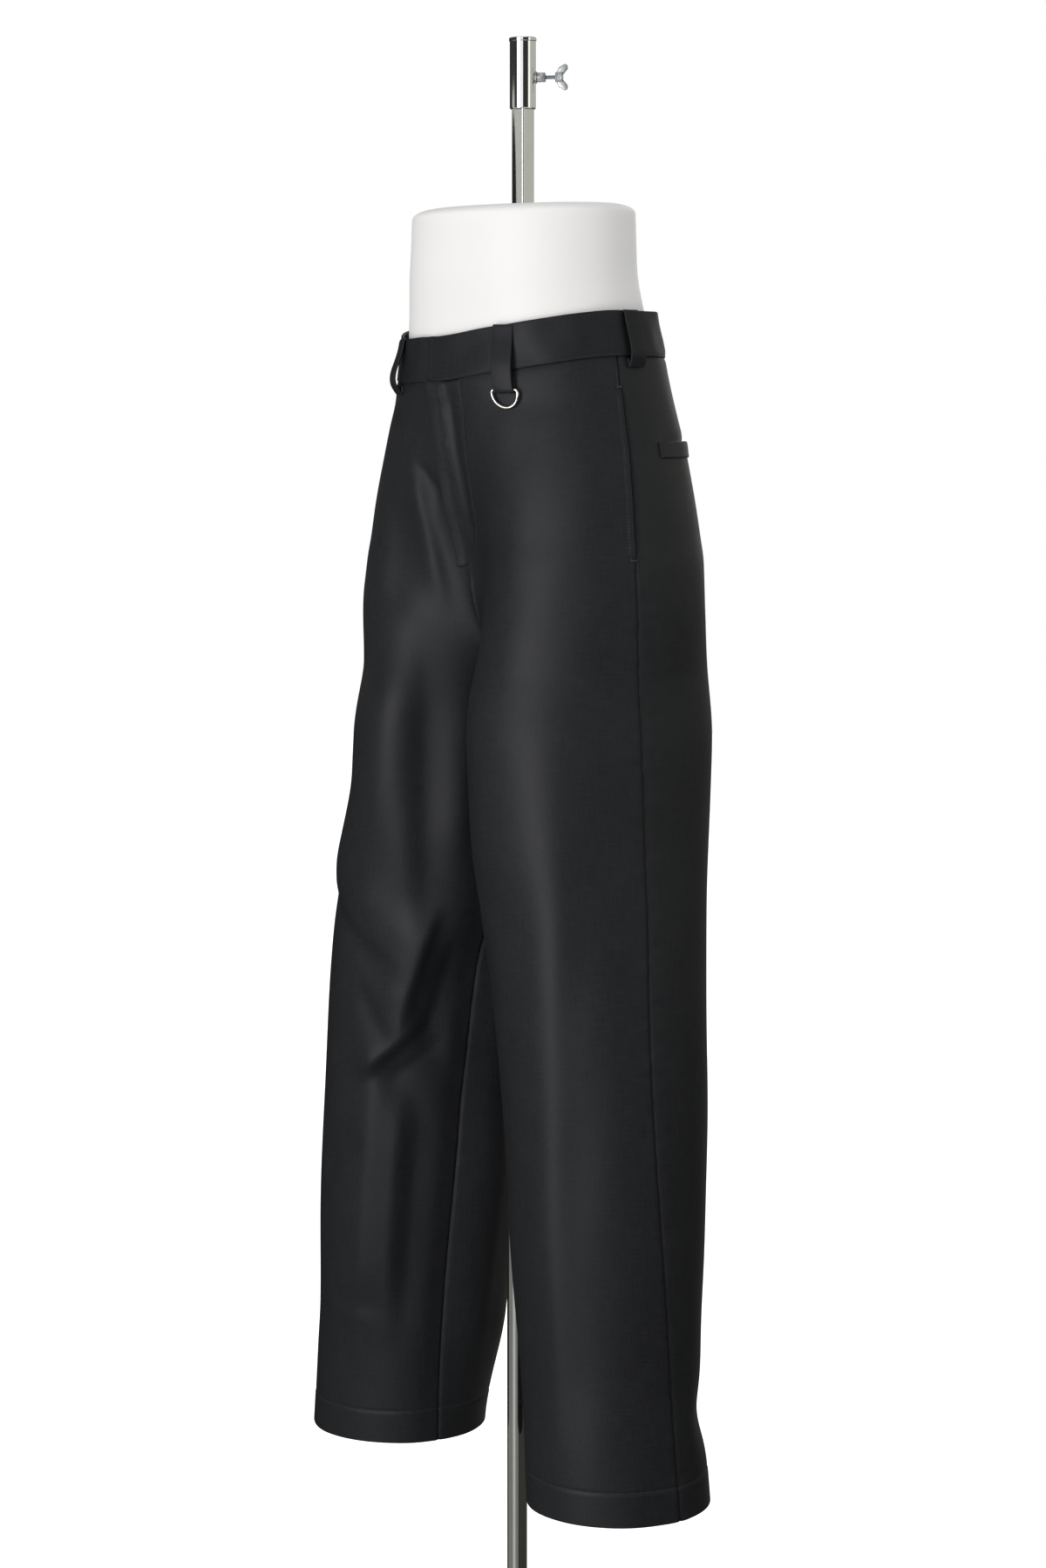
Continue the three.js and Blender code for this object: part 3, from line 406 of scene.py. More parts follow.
# leg, share round from the side seam (-1 at the inseam by the front, 1 by the back) and height of
# the fold's two ends, how far the cloth stands out, and its width to the right and left of its run
folds = [
    # the right knee: a lip that overhangs, its hollow, and the creases that run in from the side
    ("right", -0.80, 676, -0.735, 588, 8.5, 8, 32),
    ("right", -0.785, 580, -0.61, 536, 8.0, 7, 28),
    ("right", -0.90, 650, -0.83, 566, -8.0, 30, 13),
    ("right", -0.89, 560, -0.70, 524, -5.5, 56, 13),
    ("right", -0.26, 700, -0.66, 632, -3.6, 8, 18),
    ("right", -0.56, 610, -0.68, 566, -2.4, 7, 12),
    ("right", -0.30, 728, -0.60, 684, 3.0, 24, 24),
    # the right thigh: a valley between two long ridges
    ("right", -0.70, 905, -0.79, 690, -5.5, 22, 16),
    ("right", -0.56, 900, -0.57, 770, 3.5, 22, 34),
    ("right", -0.83, 880, -0.86, 740, 3.4, 12, 18),
    ("right", -0.27, 935, -0.25, 765, -8.0, 60, 60),
    # the right hip: a short crease and the ridge that falls from it beside the fly
    ("right", -0.68, 1088, -0.83, 1060, -3.0, 8, 14),
    ("right", -0.68, 1085, -0.76, 975, 5.0, 13, 17),
    ("right", -0.57, 1040, -0.58, 960, -4.0, 24, 24),
    # the right calf: shallow creases, the inseam drawn in, and the back of the leg standing fuller
    ("right", -0.63, 545, -0.65, 285, 5.5, 17, 48),
    ("right", -0.44, 434, -0.60, 462, -2.2, 20, 8),
    ("right", -0.48, 318, -0.74, 311, -1.6, 22, 9),
    ("right", -0.745, 500, -0.76, 310, 4.2, 12, 30),
    ("right", -0.835, 490, -0.85, 310, -3.2, 26, 12),
    ("right", 1.0, 700, 1.0, 250, -6.0, 16, 16),
    ("right", 0.89, 690, 0.89, 245, 6.5, 18, 22),
    ("right", 0.66, 475, 0.66, 232, 17.0, 80, 80),
    # beside the fly: the cloth dips along its curved seam
    ("left", -0.885, 1160, -0.87, 1030, -2.4, 12, 14),
    # the left leg: a soft ridge down its front
    ("left", -0.27, 800, -0.46, 290, 4.5, 28, 20),
    # the left calf: the back of the leg breaks over the hem
    ("left", 0.14, 262, 0.50, 252, -6.0, 26, 26),
]
foldTaper = 0.25        # share of its length over which a fold's end fades


def smoothStep(value):
    t = np.clip(value, 0, 1)
    return t * t * (3 - 2 * t)


def mix(a, b, share):
    return a + (b - a) * share


# 1 in the middle, falling off smoothly on both sides
def bell(offset, width):
    return np.exp(-(offset / width) ** 2)


def unit(vectors):
    return vectors / np.maximum(np.linalg.norm(vectors, axis=1, keepdims=True), 1e-9)


# how far along a line of points each one lies
def runAlong(points):
    return np.concatenate([[0], np.cumsum(np.linalg.norm(np.diff(points, axis=0), axis=1))])


def turnedBy(x, y, turn):
    return x * math.cos(turn) - y * math.sin(turn), x * math.sin(turn) + y * math.cos(turn)


# reads a table at many heights, with smooth slopes through its rows
def readTable(table, z):
    heights = table[:, 0]
    z = np.clip(np.asarray(z, dtype=float), heights[0], heights[-1])
    upper = np.clip(np.searchsorted(heights, z), 1, len(heights) - 1)
    before, low, high, after = (table[np.clip(upper + step, 0, len(heights) - 1)] for step in (-2, -1, 0, 1))
    span = high[:, :1] - low[:, :1]
    t = (z[:, None] - low[:, :1]) / span
    lowSlope = (high - before) / (high[:, :1] - before[:, :1]) * span
    highSlope = (after - low) / (after[:, :1] - low[:, :1]) * span
    read = (low * (2 * t ** 3 - 3 * t ** 2 + 1) + high * (3 * t ** 2 - 2 * t ** 3)
            + lowSlope * (t ** 3 - 2 * t ** 2 + t) + highSlope * (t ** 3 - t ** 2))
    return read.T[1:]


# a point of the hips' loop; the angle is 0 at the side, -90 at centre front and 90 at centre back
def hipPoint(angle, z):
    half, middle, front, back, frontDip, backDip = readTable(hipRows, z)
    isFront = angle < 0
    x = half * np.cos(np.radians(angle))
    dip = np.where(isFront, frontDip, backDip) * bell(x, dipWidth)
    reach = np.where(isFront, front, back) * np.sin(np.radians(angle))
    return np.stack([x, middle + reach + np.where(isFront, dip, -dip), z], axis=1)


# a point of one leg's loop; the angle is 0 outward, -90 at the front and 180 at the inseam
def legPoint(angle, z):
    middleX, middleY, inner, outer, front, back = readTable(legRows, z)[:6]
    across, along = np.cos(np.radians(angle)), np.sin(np.radians(angle))
    x = middleX + across * np.where(across > 0, outer, inner)
    return np.stack([x, middleY + along * np.where(along < 0, front, back), z], axis=1)


def waistFall(angle, level, leg=None):
    fade = smoothStep((level - waistDip["low"]) / (waistDip["high"] - waistDip["low"]))
    fall = np.where(angle < 0, waistDip["depth"] * np.sin(np.radians(angle)) ** 2 * fade, 0)
    if leg:
        rise, start, full = waistTilt[leg]
        fall = fall - rise * smoothStep((angle - start) / (full - start)) * smoothStep((90 - angle) / 60) * fade
    return fall


# the inner end's height on the row whose side seam is at sideZ, and the hips' share of that row
def rowEnds(half, sideZ):
    start, crotchSide, crotch = riseStart[half], cloth["crotchSide"], cloth["crotch"]
    down = (crotchSide - sideZ) / (crotchSide - cloth["hem"])
    turn = np.clip((start - sideZ) / (start - crotchSide), 0, 1) * math.pi / 2
    innerZ = np.where(sideZ >= start, sideZ, start - (start - crotch) * np.sin(turn))
    innerZ = np.where(sideZ <= crotchSide, mix(crotch, cloth["hem"], down), innerZ)
    hipShare = np.where(sideZ >= start, 1, np.where(sideZ <= crotchSide, 0, np.cos(turn)))
    return innerZ, hipShare


# a point of the left leg before its folds; inward is 0 at the side seam and 1 at the inner seam
def plainPoint(half, inward, sideZ, leg=None):
    side = turnSide[half]
    innerZ, hipShare = rowEnds(half, sideZ)
    wideShare = smoothStep((sideZ - blend["low"]) / (blend["high"] - blend["low"]))
    inner = np.clip(inward, 0, 1)
    level = mix(sideZ, innerZ, inner ** 3)
    hipAngle = mix(-readTable(sideSeamRows, level)[0], side * 90, 1 - (1 - inner) ** blend["bias"])
    z = level - waistFall(hipAngle, level, leg)
    sideTurn, innerTurn = readTable(legRows, z)[6:]
    legAngle = mix(-sideTurn, side * 180 + innerTurn, inner)
    share = mix(wideShare, hipShare, inner ** blend["edge"])[:, None]
    return legPoint(legAngle, z) * (1 - share) + hipPoint(hipAngle, z) * share


# the crotch seams are open round the pole, and it holds the inner thighs apart below them
def besidePole(points):
    x, y, z = points.T
    push = (polePush["out"] * bell(y - polePush["y"], polePush["reach"])
            * smoothStep((polePush["top"] - z) / polePush["fade"]))
    points[:, 0] = (x + push + np.hypot(x - push, polePush["blend"] * push / polePush["out"])) / 2
    return points


def foldHeight(legName, around, z):
    height = np.zeros_like(z)
    for leg, fromAround, fromZ, toAround, toZ, rise, widthRight, widthLeft in folds:
        if leg != legName:
            continue
        run = np.array([(toAround - fromAround) * cloth["girth"], toZ - fromZ])
        way = around - fromAround
        shortestWay = way - 2 * np.round(way / 2)       # so that a fold crosses the inseam whole
        offset = np.stack([shortestWay * cloth["girth"], z - fromZ], axis=1)
        share = offset @ run / (run @ run)
        beside = (offset[:, 0] * run[1] - offset[:, 1] * run[0]) / np.hypot(*run)
        width = np.where(beside > 0, widthRight, widthLeft)
        along = (smoothStep((share + foldTaper) / (2 * foldTaper))
                 * smoothStep((1 + foldTaper - share) / (2 * foldTaper)))
        height += rise * along * bell(beside, width)
    return height


# points on a leg's cloth, out from its face, and the way out at each
def clothPoint(legName, half, inward, sideZ, out):
    point = plainPoint(half, inward, sideZ, legName)
    across = (plainPoint(half, np.minimum(1, inward + 0.004), sideZ, legName)
              - plainPoint(half, np.maximum(0, inward - 0.004), sideZ, legName))
    up = plainPoint(half, inward, sideZ + 0.6, legName) - plainPoint(half, inward, sideZ - 0.6, legName)
    normal = unit(np.cross(across, up)) * turnSide[half]
    raised = foldHeight(legName, turnSide[half] * inward, point[:, 2])
    point = point + normal * (raised + out)[:, None]
    point[:, 0] = np.maximum(0.15, point[:, 0])
    point = besidePole(point)
    if legName == "right":
        point[:, 0] *= -1
        normal[:, 0] *= -1
    return point, normal


def finishPiece(name, bm, material, body="stand", replaced=()):
    for face in bm.faces:
        face.smooth = True
    piece = makeObject(name, bm, material)
    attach(piece, body)
    if replaced:
        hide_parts(*replaced)
    return piece


# a grid moved onto a surface: place takes each corner's shares along and across and gives points,
# ways out and a flat place; an open grid gets a wall inward, a closed one is joined into a solid
def gridPiece(name, columns, rows, place, material, wall=0, body="stand", replaced=()):
    bm = bmesh.new()
    bmesh.ops.create_grid(bm, x_segments=columns, y_segments=rows, size=0.5)
    along = np.rint([(vert.co.x + 0.5) * columns for vert in bm.verts]).astype(int)
    down = np.rint([(0.5 - vert.co.y) * rows for vert in bm.verts]).astype(int)
    points, normals, flat = place(along, down)
    for vert, point in zip(bm.verts, points * mm):
        vert.co = point
    bm.verts.index_update()
    clothMap = bm.loops.layers.uv.new("clothMap")
    for face in bm.faces:
        for loop in face.loops:
            loop[clothMap].uv = flat[loop.vert.index] * mm
    if wall:
        bm.normal_update()
        bm.faces.ensure_lookup_table()
        middle = bm.faces[len(bm.faces) // 2]
        if middle.normal.dot(Vector(normals[middle.verts[0].index])) < 0:
            bmesh.ops.reverse_faces(bm, faces=bm.faces)
    else:
        bmesh.ops.remove_doubles(bm, verts=bm.verts, dist=1e-6)
        rims = [edge for edge in bm.edges if len(edge.link_faces) == 1]
        if rims:
            bmesh.ops.holes_fill(bm, edges=rims, sides=0)
        bmesh.ops.recalc_face_normals(bm, faces=bm.faces)
    piece = finishPiece(name, bm, material, body, replaced)
    if wall:
        solid = piece.modifiers.new("wall", "SOLIDIFY")
        solid.thickness = wall * mm
        solid.offset = -1
    return piece


# sweeps a closed section of side and out distances along a line of points
def sweptPiece(name, line, sideways, section, material, body="stand", replaced=(), ring=False):
    tangent = unit(np.roll(line, -1, axis=0) - np.roll(line, 1, axis=0) if ring else np.gradient(line, axis=0))
    if ring:
        tangent[[0, -1]] = unit((line[1] - line[-2])[None, :])
    outward = unit(np.cross(sideways, tangent))
    run, girth = runAlong(line), runAlong(section)

    def place(along, down):
        side, out = section[down].T
        points = line[along] + sideways[along] * side[:, None] + outward[along] * out[:, None]
        return points, outward[along], np.stack([girth[down], run[along]], axis=1)
    return gridPiece(name, len(line) - 1, len(section) - 1, place, material, body=body, replaced=replaced)


# length, pitch and width of each kind of stitch, all of one height
stitches = {"hem": (2.2, 3.0, 0.62), "edge": (2.1, 2.8, 0.62), "band": (1.7, 2.3, 0.42),
            "loop": (1.9, 2.6, 0.42), "flyTack": (1.5, 9, 0.7), "pocketTack": (1.9, 9, 0.75),
            "weltTack": (1.6, 2.0, 0.62)}
stitchHeight = 0.44


# sews a row of small stitches along a line of points on a cloth
def sewRow(bm, points, normals, length, pitch, width):
    run = runAlong(points)
    for start in np.arange(0.3, run[-1] - length, pitch):
        at = [[np.interp(start + step, run, points[:, axis]) for axis in range(3)]
              for step in (0, length / 2, length)]
        along = Vector(at[2]) - Vector(at[0])
        if along.length < length / 3:
            continue
        along.normalize()
        out = Vector([np.interp(start + length / 2, run, normals[:, axis]) for axis in range(3)])
        beside = out.cross(along).normalized()
        out = along.cross(beside)
        place = Matrix((along * length / 2, beside * width / 2, out * stitchHeight / 2)).transposed().to_4x4()
        place.translation = at[1]
        bmesh.ops.create_icosphere(bm, subdivisions=1, radius=1, matrix=Matrix.Scale(mm, 4) @ place)


def sewnPiece(name, rows, kind):
    bm = bmesh.new()
    for points, normals in rows:
        sewRow(bm, points, normals, *stitches[kind])
    return finishPiece(name, bm, thread)


print("stage: panels")

# girth is a panel's usual width, by which shares across it become millimetres
panel = {"columns": {"front": 92, "back": 72}, "rows": 290, "girth": 290, "tuck": 1.3, "tuckWidth": 1.7,
         "topTuck": 4, "topSink": 1.6, "allowance": 0.3, "allowanceAt": 7, "pucker": 0.13, "hemDepth": 30,
         "hemStep": 0.35, "hemDent": 0.5, "foldRadius": 1.3}
# height, lengths across and down, and phase of each wave in the pressed cloth
panelWaves = [(0.35, 31, 57, 1), (0.3, 19, -83, 1.7), (0.25, 71, 41, 2.9), (0.12, 9.5, 23, 3.3)]
bandWaves = [(0.5, 12, -8, 0.6), (0.35, 6.6, 11, 0), (0.4, 27, -20, 1.9)]


# places across a panel, in shares, close together at both seams
def seamShares(count):
    near = np.array([0, 0.5, 1.0, 1.6, 2.4, 3.6, 5.4, 8.0]) / panel["girth"]
    middle = np.linspace(near[-1], 1 - near[-1], count + 1 - 2 * (len(near) - 1))
    return np.concatenate([near[:-1], middle, (1 - near[::-1])[1:]])


# side heights and offsets from the tucked top, down to the hem, and up inside it
def hemRows():
    radius, hem = panel["foldRadius"] / 2, cloth["hem"]
    top = cloth["waistSeam"] + panel["topTuck"]
    count = panel["rows"]
    main = np.linspace(top, hem + panel["hemDepth"] + 6, count - 45)
    near = np.linspace(main[-1], hem + radius, 26)[1:]
    turn = np.linspace(0, math.pi, 8)[1:]
    remaining = count - len(main) - len(near) - len(turn)
    inside = np.linspace(hem + radius, hem + panel["hemDepth"], remaining + 2)[1:]
    heights = np.concatenate([main, near, hem + radius - radius * np.sin(turn), inside])
    inward = np.concatenate([0 * main, 0 * near, radius * (1 - np.cos(turn)), 0 * inside + 2 * radius])
    return heights, -inward


# small puckers beside a seam
def puckers(seed, along, beside):
    wave = (np.sin(along / 2.6 + seed) + 0.8 * np.sin(along / 4.3 + 2.1 * seed)
            + 0.7 * np.sin(along / 7.9 + 0.7 * seed))
    return panel["pucker"] * wave * bell(beside - 5, 6)


# adds up a table's waves at places across and down a cloth
def softWaves(table, across, down, seed=1):
    return sum(height * np.sin(across / wide + down / tall + phase * seed)
               for height, wide, tall, phase in table)


# keeps each panel's puckers and waves its own
seeds = {("left", "front"): 0.0, ("right", "front"): 1.3, ("left", "back"): 2.2, ("right", "back"): 3.5}


# how far a panel's face stands off the plain cloth, without the tucks at its seams
def relief(legName, half, inward, sideZ):
    seed = seeds[legName, half]
    along = inward * panel["girth"]
    nearest = np.minimum(along, panel["girth"] - along)
    hemLine = cloth["hem"] + panel["hemDepth"]
    return (panel["allowance"] * bell(nearest - panel["allowanceAt"], 4) + puckers(seed, sideZ, nearest)
            + softWaves(panelWaves, along, sideZ, seed) * smoothStep(nearest / 30)
            + panel["hemStep"] * smoothStep((hemLine - sideZ) / 2)
            - panel["hemDent"] * bell(sideZ - hemLine, 1.2))


def onPanel(legName, half, inward, sideZ, lift=0.0):
    inward, sideZ = np.broadcast_arrays(np.asarray(inward, dtype=float), np.asarray(sideZ, dtype=float))
    return clothPoint(legName, half, inward, sideZ, relief(legName, half, inward, sideZ) + lift)


# the cloth sinks under the waistband's lower edge
def underBand(sideZ):
    return panel["topSink"] * smoothStep((sideZ - cloth["waistSeam"] + 1.5) / 3)


pocket = {"top": 1150, "bottom": 1006, "lift": 0.9, "gape": 1.5, "stitchFromEdge": 5.6, "tack": 6.5}
welt = {"height": 13.4, "length": 132, "top": 1105, "fromSeam": 36, "lift": 1.7, "slack": 1.1, "gape": 2.2}


# the back panel sinks behind the pocket's edge and above a welt, where their openings gape
def openingDent(half, fromSide, sideZ):
    if half == "front":
        return np.zeros_like(sideZ)
    inPocket = smoothStep((pocket["top"] - sideZ) / 12) * smoothStep((sideZ - pocket["bottom"]) / 12)
    overWelt = (smoothStep((fromSide - welt["fromSeam"]) / 10)
                * smoothStep((welt["fromSeam"] + welt["length"] - fromSide) / 30))
    return (pocket["gape"] * inPocket * bell(fromSide, 5)
            + welt["gape"] * overWelt * bell(sideZ - welt["top"] - 1.0, 2.6))


def panelPlace(legName, half):
    shares = seamShares(panel["columns"][half])
    heights, folded = hemRows()

    def place(along, down):
        inward, sideZ = shares[along], heights[down]
        fromSide = inward * panel["girth"]
        nearest = np.minimum(fromSide, panel["girth"] - fromSide)
        lift = folded[down] - panel["tuck"] * bell(nearest, panel["tuckWidth"])
        lift = lift - underBand(sideZ) - openingDent(half, fromSide, sideZ)
        points, normals = onPanel(legName, half, inward, sideZ, lift)
        travel = np.where(folded[down] < -panel["foldRadius"] / 2, 2 * cloth["hem"] - sideZ, sideZ)
        return points, normals, np.stack([fromSide, travel], axis=1)
    return place


for legName in ("left", "right"):
    for half in ("front", "back"):
        gridPiece(
            half + legName.title(), panel["columns"][half], panel["rows"], panelPlace(legName, half), twill,
            wall=cloth["wall"], replaced=(half + "_" + legName,))

for legName in ("left", "right"):
    rows = [onPanel(legName, half, np.linspace(0.008, 0.992, 160), cloth["hem"] + panel["hemDepth"], 0.1)
            for half in ("front", "back")]
    sewnPiece("hemStitches" + legName.title(), rows, "hem")

print("stage: fly, pockets and welts")

fly = {"over": 14, "width": 45, "foot": 997, "curve": 48, "lift": 2.4, "flat": 0.45, "standOff": 3.0,
       "slack": 1.1, "swell": 0.7, "tuck": 0.9, "wall": 1.1, "stitchInset": 4, "tackStitches": 9}


# points near centre front at given distances from it, less than nothing on the wearer's right
def frontPoints(x, sideZ, lift):
    x, sideZ, lift = np.broadcast_arrays(np.asarray(x, dtype=float), np.asarray(sideZ, dtype=float), lift)
    low, high = np.full(x.shape, 0.5), np.ones(x.shape)
    for turn in range(24):
        middle = (low + high) / 2
        wide = plainPoint("front", middle, sideZ)[:, 0] > np.abs(x)
        low, high = np.where(wide, middle, low), np.where(wide, high, middle)
    raised = relief("left", "front", high, sideZ) + lift
    onLeft, onRight = (clothPoint(legName, "front", high, sideZ, raised) for legName in ("left", "right"))
    isRight = (x < 0)[:, None]
    return [np.where(isRight, right, left) for right, left in zip(onRight, onLeft)]


def flyWidth(sideZ):
    down = np.clip((fly["foot"] + fly["curve"] - sideZ) / fly["curve"], 0, 1)
    return np.maximum(fly["width"] * np.sqrt(1 - down ** 2), 5)


# the fly's cloth stands off in a slack triangle under the band, and swells along its edge
def flyPuff(across, sideZ):
    down = cloth["waistSeam"] - sideZ
    slant = (across - 2) * 0.5 + (down - 20) * 0.86
    slack = bell(slant, 8) * smoothStep((across - 2) / 8) * smoothStep((36 - across) / 16)
    swell = bell(across - 11, 8) * smoothStep((down - 18) / 20) * smoothStep((110 - down) / 40)
    return fly["slack"] * slack + fly["swell"] * swell


def flyPiece():
    columns, rows = 56, 110
    top, foot = cloth["waistSeam"] + 1, fly["foot"]
    heights = top - (top - foot) * np.linspace(0, 1, rows + 1) ** 0.85
    shares = np.linspace(0, 1, columns + 1) ** 1.4

    def place(along, down):
        across, sideZ = shares[along] * flyWidth(heights[down]), heights[down]
        lift = mix(fly["lift"], fly["flat"], smoothStep(across / 14))
        lift = lift - fly["tuck"] * smoothStep((shares[along] - 0.8) / 0.2)
        lift = lift + fly["standOff"] * (1 - smoothStep(across / 30)) * smoothStep((sideZ - foot) / 70)
        lift = lift + flyPuff(across, sideZ) - 0.22 * bell(across - flyWidth(sideZ) + fly["stitchInset"], 0.7)
        lift = lift - 1.2 * bell(across, 0.5) - underBand(sideZ)
        points, normals = frontPoints(across - fly["over"], sideZ, lift)
        return points, normals, np.stack([across, sideZ], axis=1)
    piece = gridPiece("flyPlacket", columns, rows, place, twill, wall=fly["wall"], replaced=("fly",))
    sewnAt = np.concatenate([np.linspace(cloth["waistSeam"], foot + 20, 60),
                             foot + 20 - 14 * np.sin(np.linspace(0, 1, 12)[1:] * math.pi / 2)])
    curve = frontPoints(flyWidth(sewnAt) - fly["stitchInset"] - fly["over"], sewnAt, fly["flat"] + 0.1)
    seam = sewnPiece("flyStitches", [curve], "edge")
    tack = [frontPoints(np.array([1.8, 3.8]) - fly["over"], foot + 3 + 0.75 * step, 1.9)
            for step in range(fly["tackStitches"])]
    return piece, [seam, sewnPiece("flyTack", tack, "flyTack")]


# the share in from the side seam of points that lie given distances along the cloth
def inwardAt(half, sideZ, distance):
    shares = np.linspace(0, 1, 61)
    found = []
    for level, reach in zip(sideZ, distance):
        line = plainPoint(half, shares, np.full(61, level))
        found.append(np.interp(reach, runAlong(line), shares))
    return np.array(found)


def pocketEdge(legName):
    top, bottom = pocket["top"], pocket["bottom"]
    heights = np.linspace(top, bottom, 81)
    steps = np.array([0.0, 0.25, 0.6, 1.0, 1.6, 2.4, 3.4, 4.6, 5.3, 5.8, 6.4, 7.2, 8.2])

    def place(along, down):
        sideZ, across = heights[down], steps[along]
        ends = smoothStep((top - sideZ) / 8) * smoothStep((sideZ - bottom) / 8)
        rolled, sunk = 0.7 * bell(across, 0.5), 0.3 * bell(across - pocket["stitchFromEdge"], 0.6)
        lift = mix(0.1, pocket["lift"], ends) * (1 - smoothStep((across - 5.5) / 2.5)) - rolled - sunk
        lift = lift - 0.35 * smoothStep((across - 6.5) / 1.5)
        points, normals = onPanel(legName, "front", across / panel["girth"], sideZ, lift)
        return points, normals, np.stack([across, sideZ], axis=1)
    piece = gridPiece("pocketEdge" + legName.title(), len(steps) - 1, len(heights) - 1, place, twill, wall=0.8,
                      replaced=("pocket_edge_" + legName,))
    inward = pocket["stitchFromEdge"] / panel["girth"]
    row = onPanel(legName, "front", inward, np.linspace(top + 14, bottom - 1, 60), 0.75)
    sewn = sewnPiece("pocketStitches" + legName.title(), [row], "edge")
    tacks = [onPanel(legName, "front", reach / panel["girth"], [level + 1.2, level - 1.2], 0.95)
             for level in (top, bottom) for reach in np.linspace(0.4, 0.4 + pocket["tack"], 10)]
    bars = sewnPiece("pocketTacks" + legName.title(), tacks, "pocketTack")
    return piece, [sewn, bars]


def backWelt(legName):
    top, tall, length = welt["top"], welt["height"], welt["length"]
    heights = top - tall * np.array([0, 0.02, 0.055, 0.11, 0.21, 0.36, 0.5, 0.64, 0.79, 0.89, 0.94, 0.98, 1])
    run = np.linspace(0, 1, 67)
    shares = inwardAt("back", np.full(len(run), top - tall / 2), welt["fromSeam"] + length * run)

    def place(along, down):
        sideZ, across = heights[down], run[along]
        slack = smoothStep((sideZ - top + tall) / tall) * np.sin(math.pi * across) ** 0.7
        rolled = 0.9 * (bell(top - sideZ, 0.45) + bell(sideZ - top + tall, 0.45))
        ends = 0.8 * (bell(across * length, 0.8) + bell((1 - across) * length, 0.8))
        lift = welt["lift"] + welt["slack"] * slack - rolled - ends
        points, normals = onPanel(legName, "back", shares[along], sideZ, lift)
        return points, normals, np.stack([across * length, sideZ], axis=1)
    piece = gridPiece("backWelt" + legName.title(), len(run) - 1, len(heights) - 1, place, twill, wall=1.3,
                      replaced=("back_welt_" + legName,))
    rows = []
    for end in (1.6, length - 1.6):
        inward = inwardAt("back", [top - 7.0], [welt["fromSeam"] + end])
        rows.append(onPanel(legName, "back", inward, np.linspace(top, top - tall, 8), 1.8))
    return piece, [sewnPiece("weltTacks" + legName.title(), rows, "weltTack")]


sewnOn = {"fly": flyPiece()}
for legName in ("left", "right"):
    sewnOn["pocketEdge", legName] = pocketEdge(legName)
    sewnOn["backWelt", legName] = backWelt(legName)

print("stage: waistband, loops and ring")

# meanRadius is the waist's, by which turns round it become millimetres
band = {"height": 39.3, "proud": 0.75, "inner": 1.75, "underlap": 38, "overlap": 14, "lap": 3.4, "lapRun": 18,
        "gap": 0.3, "edgeRadius": 1.2, "stitchLevel": 1.9, "meanRadius": 118}
beltLoop = {"width": 18.5, "thick": 1.9, "bow": {"side": 4.0, "back": 5, "front": 6.0}, "drop": 10,
            "angles": {"side": 4, "back": 90, "front": -58}, "tackUp": 2}
ringLoop = {"width": 19, "thick": 1.7, "drop": 15.5, "bow": 2, "backTop": 3, "tackUp": 19}
strip = {"stitchInset": 2.6, "groove": 0.16, "tackInset": 1.2}
dRing = {"wire": 2.6, "width": 27, "height": 19, "lean": 1.2, "shoulder": 0.16}


# points all round the waist: turn is 0 at the wearer's left, 90 behind and -90 in front
def waistPoint(turn, level, out, ridesUp=True):
    given = (np.atleast_1d(np.asarray(value, dtype=float)) for value in (turn, level, out))
    turn, level, out = np.broadcast_arrays(*given)
    wrapped = np.mod(turn + 90, 360) - 90
    mirrored = wrapped > 90
    angle = np.where(mirrored, 180 - wrapped, wrapped)

    def at(a, h):
        fall = np.where(mirrored, waistFall(a, h, "right"), waistFall(a, h, ridesUp and "left"))
        return hipPoint(a, h - fall)
    across = at(angle + 0.5, level) - at(angle - 0.5, level)
    up = at(angle, level + 1) - at(angle, level - 1)
    normal = unit(np.cross(across, up))
    points = at(angle, level) + normal * out[:, None]
    points[:, 0] *= np.where(mirrored, -1, 1)
    normal[:, 0] *= np.where(mirrored, -1, 1)
    return points, normal


# soft drag lines across the band, which die away at its tab
def bandRipple(turn, level):
    run = np.radians(turn) * band["meanRadius"]
    height = level - cloth["waistSeam"]
    return softWaves(bandWaves, run, height) * smoothStep(height / 6)


# half the waist's width, and the turns at which the band starts under the fly and ends at its tab
def bandTurns():
    half = readTable(hipRows, np.array([cloth["waistSeam"] - waistDip["depth"]]))[0, 0]
    start = -90 + math.degrees(math.asin(band["underlap"] / half))
    end = -450 - math.degrees(math.asin(band["overlap"] / half))
    return half, start, end


def bandSection():
    height, radius = band["height"], band["edgeRadius"]
    outer = [(band["proud"], level) for level in (0.15, 0.7, 1.4, 1.9, 2.4, 3.2, 5, *range(8, 33, 4), 35, 37)]
    outer[3] = (band["proud"] - 0.22, band["stitchLevel"])       # the groove under its stitches
    top = [((band["proud"] - band["inner"]) / 2 + (band["proud"] + band["inner"]) / 2 * math.cos(turn),
            height - radius + radius * math.sin(turn)) for turn in np.linspace(0, math.pi, 9)]
    inner = [(-band["inner"], level) for level in (36, 30, 20, 10, 2)]
    bottom = [(-band["inner"] + 0.3, 0.1), (band["proud"] - 0.4, 0.0)]
    return np.array([(out, level) for out, level in outer + top + inner + bottom + outer[:1]])


